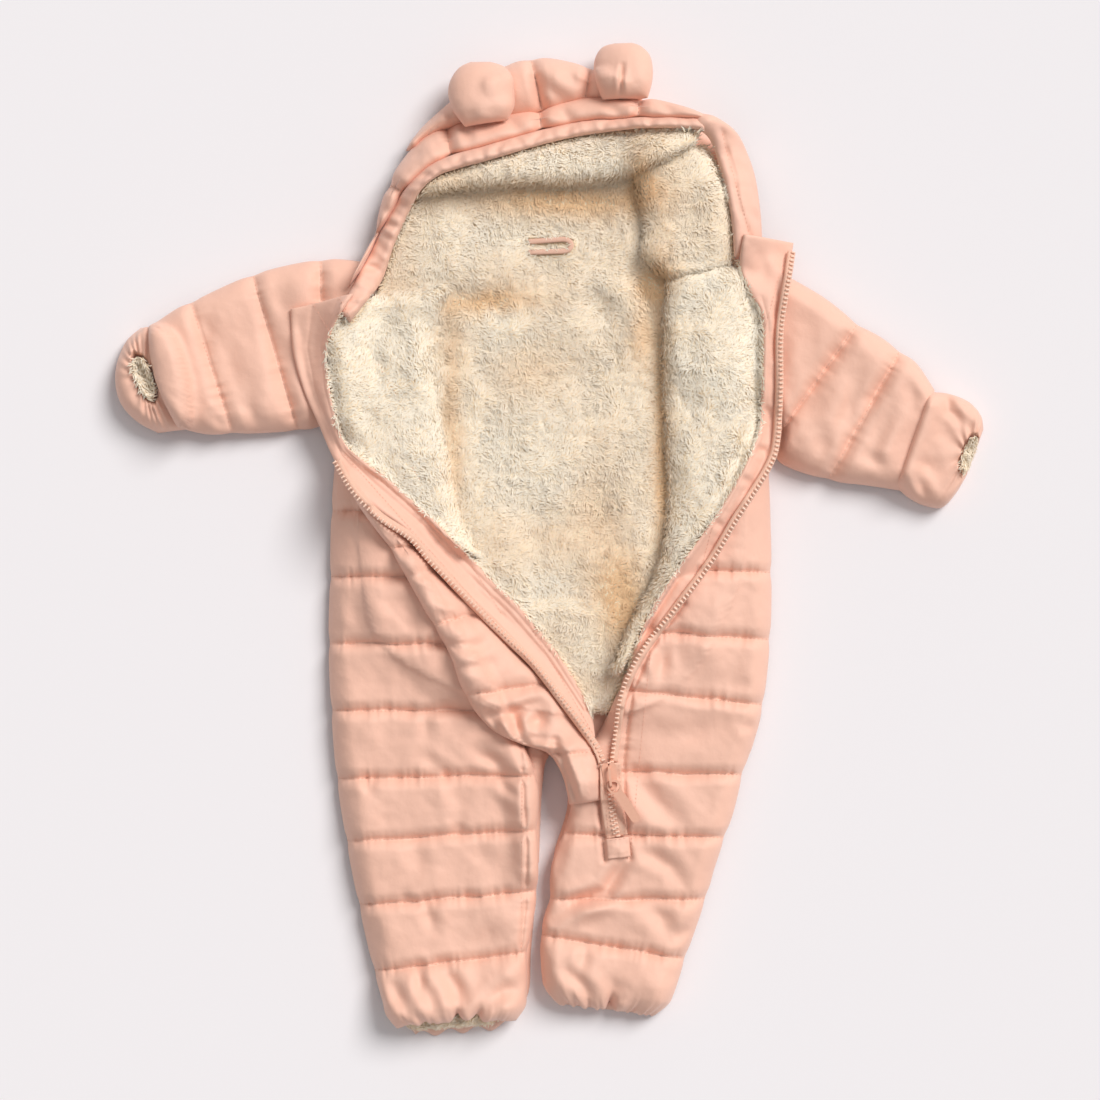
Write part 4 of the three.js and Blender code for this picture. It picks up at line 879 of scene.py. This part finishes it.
lay_over(
    "zip_patch", ribbon(ZIP_PATCH, 17), **{
        **woven, "pad": 2.2, "seam": 1.4, "material": shell, "slot": "shell"},
    valley=2.5, seams=[[(43, -218), (44, -229.5), (55.5, -228.5), (55.5, -216.5)]])

# Teeth: moulded blocks of peach plastic clamped on the edge of each tape, one every few
# millimetres. Where a front is folded back, its teeth point the other way.
TOOTH_SIZE = (3.4, 1.9, 2.0)
TOOTH_PITCH, TOOTH_STAGGER = 3.25, 1.6      # the two rows mesh, half a tooth apart
TAPE_EDGE = 1.7                             # from the middle of the closed zip


def shape_by_hand(build):
    """Points and faces of a small part that build shapes with operators."""
    bpy.ops.object.select_all(action="DESELECT")
    build()
    made = bpy.context.object
    for modifier in list(made.modifiers):
        bpy.ops.object.modifier_apply(modifier=modifier.name)
    bpy.ops.object.transform_apply(location=True, rotation=True, scale=True)
    points = np.array([v.co for v in made.data.vertices]) / MM
    faces = [list(p.vertices) for p in made.data.polygons]
    bpy.data.meshes.remove(made.data)
    return points, faces


def tooth():
    """A block with a narrower head, long across the tape."""
    bpy.ops.mesh.primitive_cube_add(size=1, location=(0, 0, 0))
    block = bpy.context.object
    block.scale = [size * MM for size in TOOTH_SIZE]
    bpy.ops.object.transform_apply(scale=True)
    for vertex in block.data.vertices:
        if vertex.co.x > 0:
            vertex.co.y *= 0.62
        if vertex.co.z > 0:
            vertex.co.y *= 0.8
            vertex.co.x *= 0.86
    bevel = block.modifiers.new("round", "BEVEL")
    bevel.width, bevel.segments = 0.45 * MM, 2


def walk(line, pitch, start=0.0):
    """Places along a smooth line of points at even distances, with the way it runs there."""
    rows = np.array(line, float)
    dense = curve(rows, np.linspace(0, len(rows) - 1, len(rows) * 40))
    run = np.concatenate([[0], np.cumsum(np.hypot(*np.diff(dense, axis=0).T))])
    at = np.arange(start, run[-1], pitch)
    spots = np.stack([np.interp(at, run, dense[:, k]) for k in (0, 1)], -1)
    ahead = np.stack([np.interp(np.minimum(at + 0.5, run[-1]), run, dense[:, k])
                      - np.interp(np.maximum(at - 0.5, 0), run, dense[:, k])
                      for k in (0, 1)], -1)
    return spots, ahead / np.hypot(*ahead.T)[:, None], at / run[-1]


def repeated(shape, spots, x_ways, heights):
    """One shape copied to many places: its X along x_ways, its middle at heights."""
    points, faces = shape
    all_points, all_faces = [], []
    for (sx, sy), (wx, wy), z in zip(spots, x_ways, heights):
        first = len(all_points) * len(points)
        all_points.append(np.stack([sx + points[:, 0] * wx - points[:, 1] * wy,
                                    sy + points[:, 0] * wy + points[:, 1] * wx,
                                    z + points[:, 2]], -1))
        all_faces += [[k + first for k in face] for face in faces]
    return np.vstack(all_points), all_faces


moulded, shader, place = new_cloth("peach_teeth", 0.42)
colour = place.mix(place.noise(300, 1), linear(246, 206, 184), linear(253, 220, 200))
colour.feed(shader, "Base Color")
tooth_shape = shape_by_hand(tooth)


def top_at(x, y):
    """Height of whatever lies on top at each place."""
    row, column = bed_cells(x, y)
    return bed[row, column]


def chain(name, line, sides, start=0.0):
    """A row of teeth whose heads point to one side of the line, or turn over to the other."""
    spots, ways, share = walk(line, TOOTH_PITCH, start)
    side = np.interp(share, *zip(*sides))[:, None]
    normal = np.stack([-ways[:, 1], ways[:, 0]], -1)
    heads = normal * np.where(side < 0, -1, 1)
    places = spots + normal * side
    heights = top_at(places[:, 0], places[:, 1])
    heights = np.maximum(heights, top_at(spots[:, 0], spots[:, 1])) + 0.5
    points, faces = repeated(tooth_shape, places, heads, heights)
    make_piece(name, points, faces, moulded, smooth=False)


chain("teeth_left", ZIP_LEFT, [(0, -1.7), (0.35, -1.7), (0.6, 1.2), (1, 1.2)])
chain("teeth_right", ZIP_RIGHT[::-1], [(0, 1.6), (0.24, 1.6), (0.34, -1.2), (1, -1.2)])
closed_spots = np.array(ZIP_CLOSED)
chain("teeth_closed_left", closed_spots - (TAPE_EDGE, 0), [(0, 0.8), (1, 0.8)])
chain("teeth_closed_right", closed_spots + (TAPE_EDGE, 0), [(0, -0.8), (1, -0.8)],
      start=TOOTH_STAGGER)

# Ears: two stuffed pads of shell cloth, closed by a seam all round and sewn to the crown at
# the foot.
EAR_LEFT = [
    (-62, 301, -31, 306), (-70, 312, -26, 316), (-74, 324, -26, 328), (-73, 335, -27, 337),
    (-67, 345, -33, 346), (-58, 350, -44, 350),
]
EAR_RIGHT = [
    (38, 321.5, 71, 322), (34, 332, 74, 332), (32, 343, 75, 343), (33, 353, 73, 354),
    (38, 361, 67, 361), (47, 364, 60, 364),
]
ear = {"pad": 19, "seam": 6, "edge": 20, "lines": [], "fill": 0.8, "rough": 0.9,
       "ends": (True, True), "end_round": 15}
lay_over("ear_left", EAR_LEFT, **ear, creases=[
    ([(-58, 303), (-56, 312)], 5, -1.0), ([(-40, 306), (-43, 314)], 5, -0.8)])
lay_over("ear_right", EAR_RIGHT, **ear, creases=[
    ([(52.6, 345), (51.5, 334), (51, 323)], 1.8, -3.2), ([(62, 325), (60, 333)], 5, -0.8)])

# Sewing: thread of the same peach along every quilted row and seam, 3 mm to a stitch, wherever
# the line shows.
thread, shader, _ = new_cloth("peach_thread", 0.7)
shader.inputs["Base Color"].default_value = linear(238, 188, 166)
STITCH = (np.array([(-1.15, 0, 0), (1.15, 0, 0), (0, 0.24, 0), (0, -0.24, 0), (0, 0, 0.24),
                    (0, 0, -0.24)]),
          [(0, 3, 4), (3, 1, 4), (1, 2, 4), (2, 0, 4), (3, 0, 5), (1, 3, 5), (2, 1, 5), (0, 2, 5)])


def sew(name, lines, pitch=3.0, margin=2.0):
    """Stitches along lines, lying on whatever is on top there."""
    places, ways, heights = [], [], []
    for line in lines:
        spots, ahead, _ = walk(line, pitch, margin)
        places.append(spots)
        ways.append(ahead)
        heights.append(top_at(spots[:, 0], spots[:, 1]) + 0.12)
    points, faces = repeated(STITCH, np.vstack(places), np.vstack(ways), np.concatenate(heights))
    make_piece(name, points, faces, thread, smooth=False)


for name in ("front_left", "front_right", "front_left_edge", "sleeve_left_front",
             "sleeve_right_front", "hood_crown", "hood_brow", "hood_side_right", "facing_left",
             "facing_right", "zip_closed", "zip_patch"):
    cloth = laid[name]
    shown = []
    for line in cloth["lines"]:
        spots, _, _ = walk(line, 1.0)
        row, column = bed_cells(spots[:, 0], spots[:, 1])
        on_top = owner[row, column] == cloth["number"]
        if on_top.sum() > 8:
            first, last = np.flatnonzero(on_top)[[0, -1]]
            shown.append([spots[first], spots[last]])
    if shown:
        sew("stitches_" + name, shown)

# Pile of the fleece: soft curled locks on every part of the lining that shows, brushed this way and
# that. Its colour holds painted shade: each lock is tan at the root and cream at the tip, low tufts
# are painted darker than raised ones, and shade is painted as tan into the recesses, over a tan that
# varies at random.
curls, shader, place = new_cloth("fleece_locks", 0.95, sheen=0.5)
lock = place.node("ShaderNodeAttribute", (), out="Color", attribute_name="lock")
up, tone = (lock.node("ShaderNodeSeparateColor", {0: lock}, out=part) for part in ("Red", "Green"))
# up runs from root to tip and is higher on raised tufts: painted shade between the locks. tone is tan
# that varies at random plus shade painted into the recesses.
colour = place.mix(up, linear(255, 232, 196), linear(255, 251, 239))
colour = place.mix(tone * 0.85, colour, linear(242, 198, 146))
colour.feed(shader, "Base Color")

TUFT = 1.0                      # how far the tufts rise out of the ground
PILE_LENGTH, PILE_WIDTH = 4.0, 0.46
PILE_SHARE = 1.0                # of the millimetres that show, how many carry a lock
RECESS_SHADE = [                    # middle, reach each way and strength of the shade painted as tan into the pile
    (10, 250, 66, 13, 1.0), (-46, 175, 34, 9, 0.8), (76, 190, 16, 13, 1.0),
    (82, 80, 8, 110, 1.0), (54, -46, 18, 36, 1.0), (-71, 90, 8, 80, 0.6),
    (-16, 128, 26, 18, 0.3), (30, 20, 20, 30, 0.3), (66, 262, 9, 22, 0.8),
    (66, 150, 9, 26, 0.6), (20, -105, 40, 12, 0.3),
]


def grow_pile(name, seed, tan_and_shade):
    """Locks on each millimetre where a lining shows; the last argument says how much tan it keeps:
    tan that varies at random, and shade painted into the recesses.
    """
    cloth = laid[name]
    random = np.random.default_rng(seed)
    own = owner == cloth["number"]
    spread = own.copy()
    for step in (1, 2):
        for axis in (0, 1):
            spread |= np.roll(own, step, axis) | np.roll(own, -step, axis)
    spread &= np.isin(owner, fleeces)
    row, column = np.nonzero(own | spread)
    kept = random.random(len(row)) < PILE_SHARE
    row, column = row[kept], column[kept]
    count = len(row)
    x = column - HALF_WIDTH + random.random(count)
    y = row - HALF_LENGTH + random.random(count)
    rows = np.arange(row.min() - 8, row.max() + 9)
    columns = np.arange(column.min() - 8, column.max() + 9)
    grid_x, grid_y = np.meshgrid(columns - HALF_WIDTH + 0.5, rows - HALF_LENGTH + 0.5)
    tufts = np.abs(grain(grid_x, grid_y, 9, 17)) + 0.7 * np.abs(grain(grid_x, grid_y, 4.6, 18))
    smooth = soften(bed[rows[0]:rows[-1] + 1, columns[0]:columns[-1] + 1], 1.2)
    slope_y, slope_x = np.gradient(soften(smooth, 2) + TUFT * tufts)
    inside = (row - rows[0], column - columns[0])
    raised = TUFT * (tufts[inside] - 0.25)
    normal = np.stack([-np.clip(slope_x[inside], -1.4, 1.4), -np.clip(slope_y[inside], -1.4, 1.4),
                       np.ones(count)], -1)
    normal /= np.linalg.norm(normal, axis=1)[:, None]
    z = smooth[inside] + raised
    flow = 3.4 * grain(x, y, 34, 21) + 1.1 * grain(x, y, 11, 22) + 0.6 * grain(x, y, 5, 23)
    angle = flow + random.normal(0, 0.5, count)
    way = np.stack([np.cos(angle), np.sin(angle), 0 * angle], -1) + 0.5 * normal * (1, 1, 0)
    way -= normal * (way * normal).sum(axis=1)[:, None]
    way /= np.linalg.norm(way, axis=1)[:, None]
    side = np.cross(normal, way)
    roll = random.normal(0, 0.32, count)[:, None]
    side = side * np.cos(roll) + normal * np.sin(roll)
    long = (PILE_LENGTH * (0.6 + 0.7 * random.random(count)))[:, None]
    wide = PILE_WIDTH * (0.7 + 0.6 * random.random(count))[:, None]
    bend = random.normal(0, 0.22, count)[:, None] * side
    root = np.stack([x, y, z - 0.5], -1)
    belly = root + long * (0.45 * way + 0.22 * normal + 0.3 * bend)
    tip = root + long * (0.95 * way + (0.2 + 0.12 * random.random(count))[:, None] * normal + bend)
    for spot in (belly, tip):
        spot[:, 2] = np.maximum(spot[:, 2], top_at(spot[:, 0], spot[:, 1]) + 0.2)
    points = np.stack([root - side * wide, root + side * wide,
                       belly - side * wide * 0.9, belly + side * wide * 0.9, tip], 1)
    points = points.reshape(-1, 3)
    first = (np.arange(count) * 5)[:, None, None]
    faces = (np.array([(0, 2, 3, 1)])[None] + first).reshape(-1, 4).tolist()
    faces += (np.array([(2, 4, 3)])[None] + first).reshape(-1, 3).tolist()
    pile = make_piece("pile_" + name, points, faces, curls)
    calm = np.stack([-np.clip(slope_x[inside], -0.5, 0.5), -np.clip(slope_y[inside], -0.5, 0.5),
                     np.ones(count)], -1)
    soft = calm + 0.35 * np.cross(way, side)
    soft /= np.linalg.norm(soft, axis=1)[:, None]
    pile.data.normals_split_custom_set_from_vertices(np.repeat(soft, 5, axis=0).tolist())
    tones = np.zeros((count, 5, 4))
    # Painted shade: darker tan towards the root of each lock, and on low tufts more than on raised
    # ones.
    depth = np.clip(0.5 + 0.5 * raised / TUFT, 0, 1)[:, None]
    tones[:, :, 0] = np.array([0.0, 0.0, 0.6, 0.6, 0.8])[None] + 0.2 * depth
    # Tan that varies at random over the lining, plus shade painted as tan into each recess.
    patch = 0.35 * (0.5 + 0.5 * grain(x, y, 38, 41)) + 0.12 * random.random(count)
    for middle_x, middle_y, wide_x, wide_y, deep in RECESS_SHADE:
        patch = patch + deep * np.exp(-((x - middle_x) / wide_x) ** 2
                                      - ((y - middle_y) / wide_y) ** 2)
    tones[:, :, 1] = np.minimum(1, patch * tan_and_shade)[:, None]
    tones[:, :, 3] = 1
    lock = pile.data.color_attributes.new("lock", "FLOAT_COLOR", "POINT")
    lock.data.foreach_set("color", tones.reshape(-1))


fleeces = [laid[name]["number"] for name in laid if "lining" in name or "facing" in name]
for seed, name in enumerate(("back_lining", "lining_left", "lining_right",
                             "hood_lining_right", "hood_lining_top", "cuff_left_lining",
                             "cuff_right_lining", "hem_lining_left")):
    # The two front linings keep less of the tan, both random tone and painted shade, so they are
    # painted lighter where more light falls on them.
    grow_pile(name, 100 + seed, {"lining_left": 0.35, "lining_right": 0.4}.get(name, 1.0))

# Slider and pull tab: cast metal under peach enamel. The slider is clamped round both rows of
# teeth, and the pull hangs on its bail.
enamel, shader, place = new_cloth("peach_enamel", 0.35)
colour = place.mix(place.noise(400, 2), linear(230, 172, 147), linear(240, 188, 163))
colour.feed(shader, "Base Color")
for name in ("slider", "pull_tab"):
    NODES[name].data.materials.clear()
    NODES[name].data.materials.append(enamel)

# The pale table that the suit lies on, soft light as from a window to one side, and the camera
# straight above.
bpy.ops.object.select_all(action="DESELECT")
bpy.ops.mesh.primitive_plane_add(size=6, location=(0, 0, -0.0002))
floor = bpy.context.object
floor.name = "floor"
paper, shader, _ = new_cloth("pale_table", 0.9)
shader.inputs["Base Color"].default_value = linear(243, 240, 243)
floor.data.materials.append(paper)

world = bpy.data.worlds.new("studio")
bpy.context.scene.world = world
world.use_nodes = True
world.node_tree.nodes["Background"].inputs["Color"].default_value = (1.0, 0.985, 0.98, 1)
world.node_tree.nodes["Background"].inputs["Strength"].default_value = 0.39
bpy.context.scene.view_settings.view_transform = "Standard"
window = bpy.data.lights.new("window", "SUN")
window.energy, window.angle = 2.62, 0.5
window.color = (1.0, 0.985, 0.965)
light = bpy.data.objects.new("window", window)
light.rotation_euler = (-0.52, 0.60, 0)
bpy.context.scene.collection.objects.link(light)

lens = bpy.data.cameras.new("camera")
lens.lens, lens.sensor_width = 111, 36
camera = bpy.data.objects.new("camera", lens)
bpy.context.scene.collection.objects.link(camera)
camera.location = (0.00008, -0.0081, 2.5)
bpy.context.scene.camera = camera
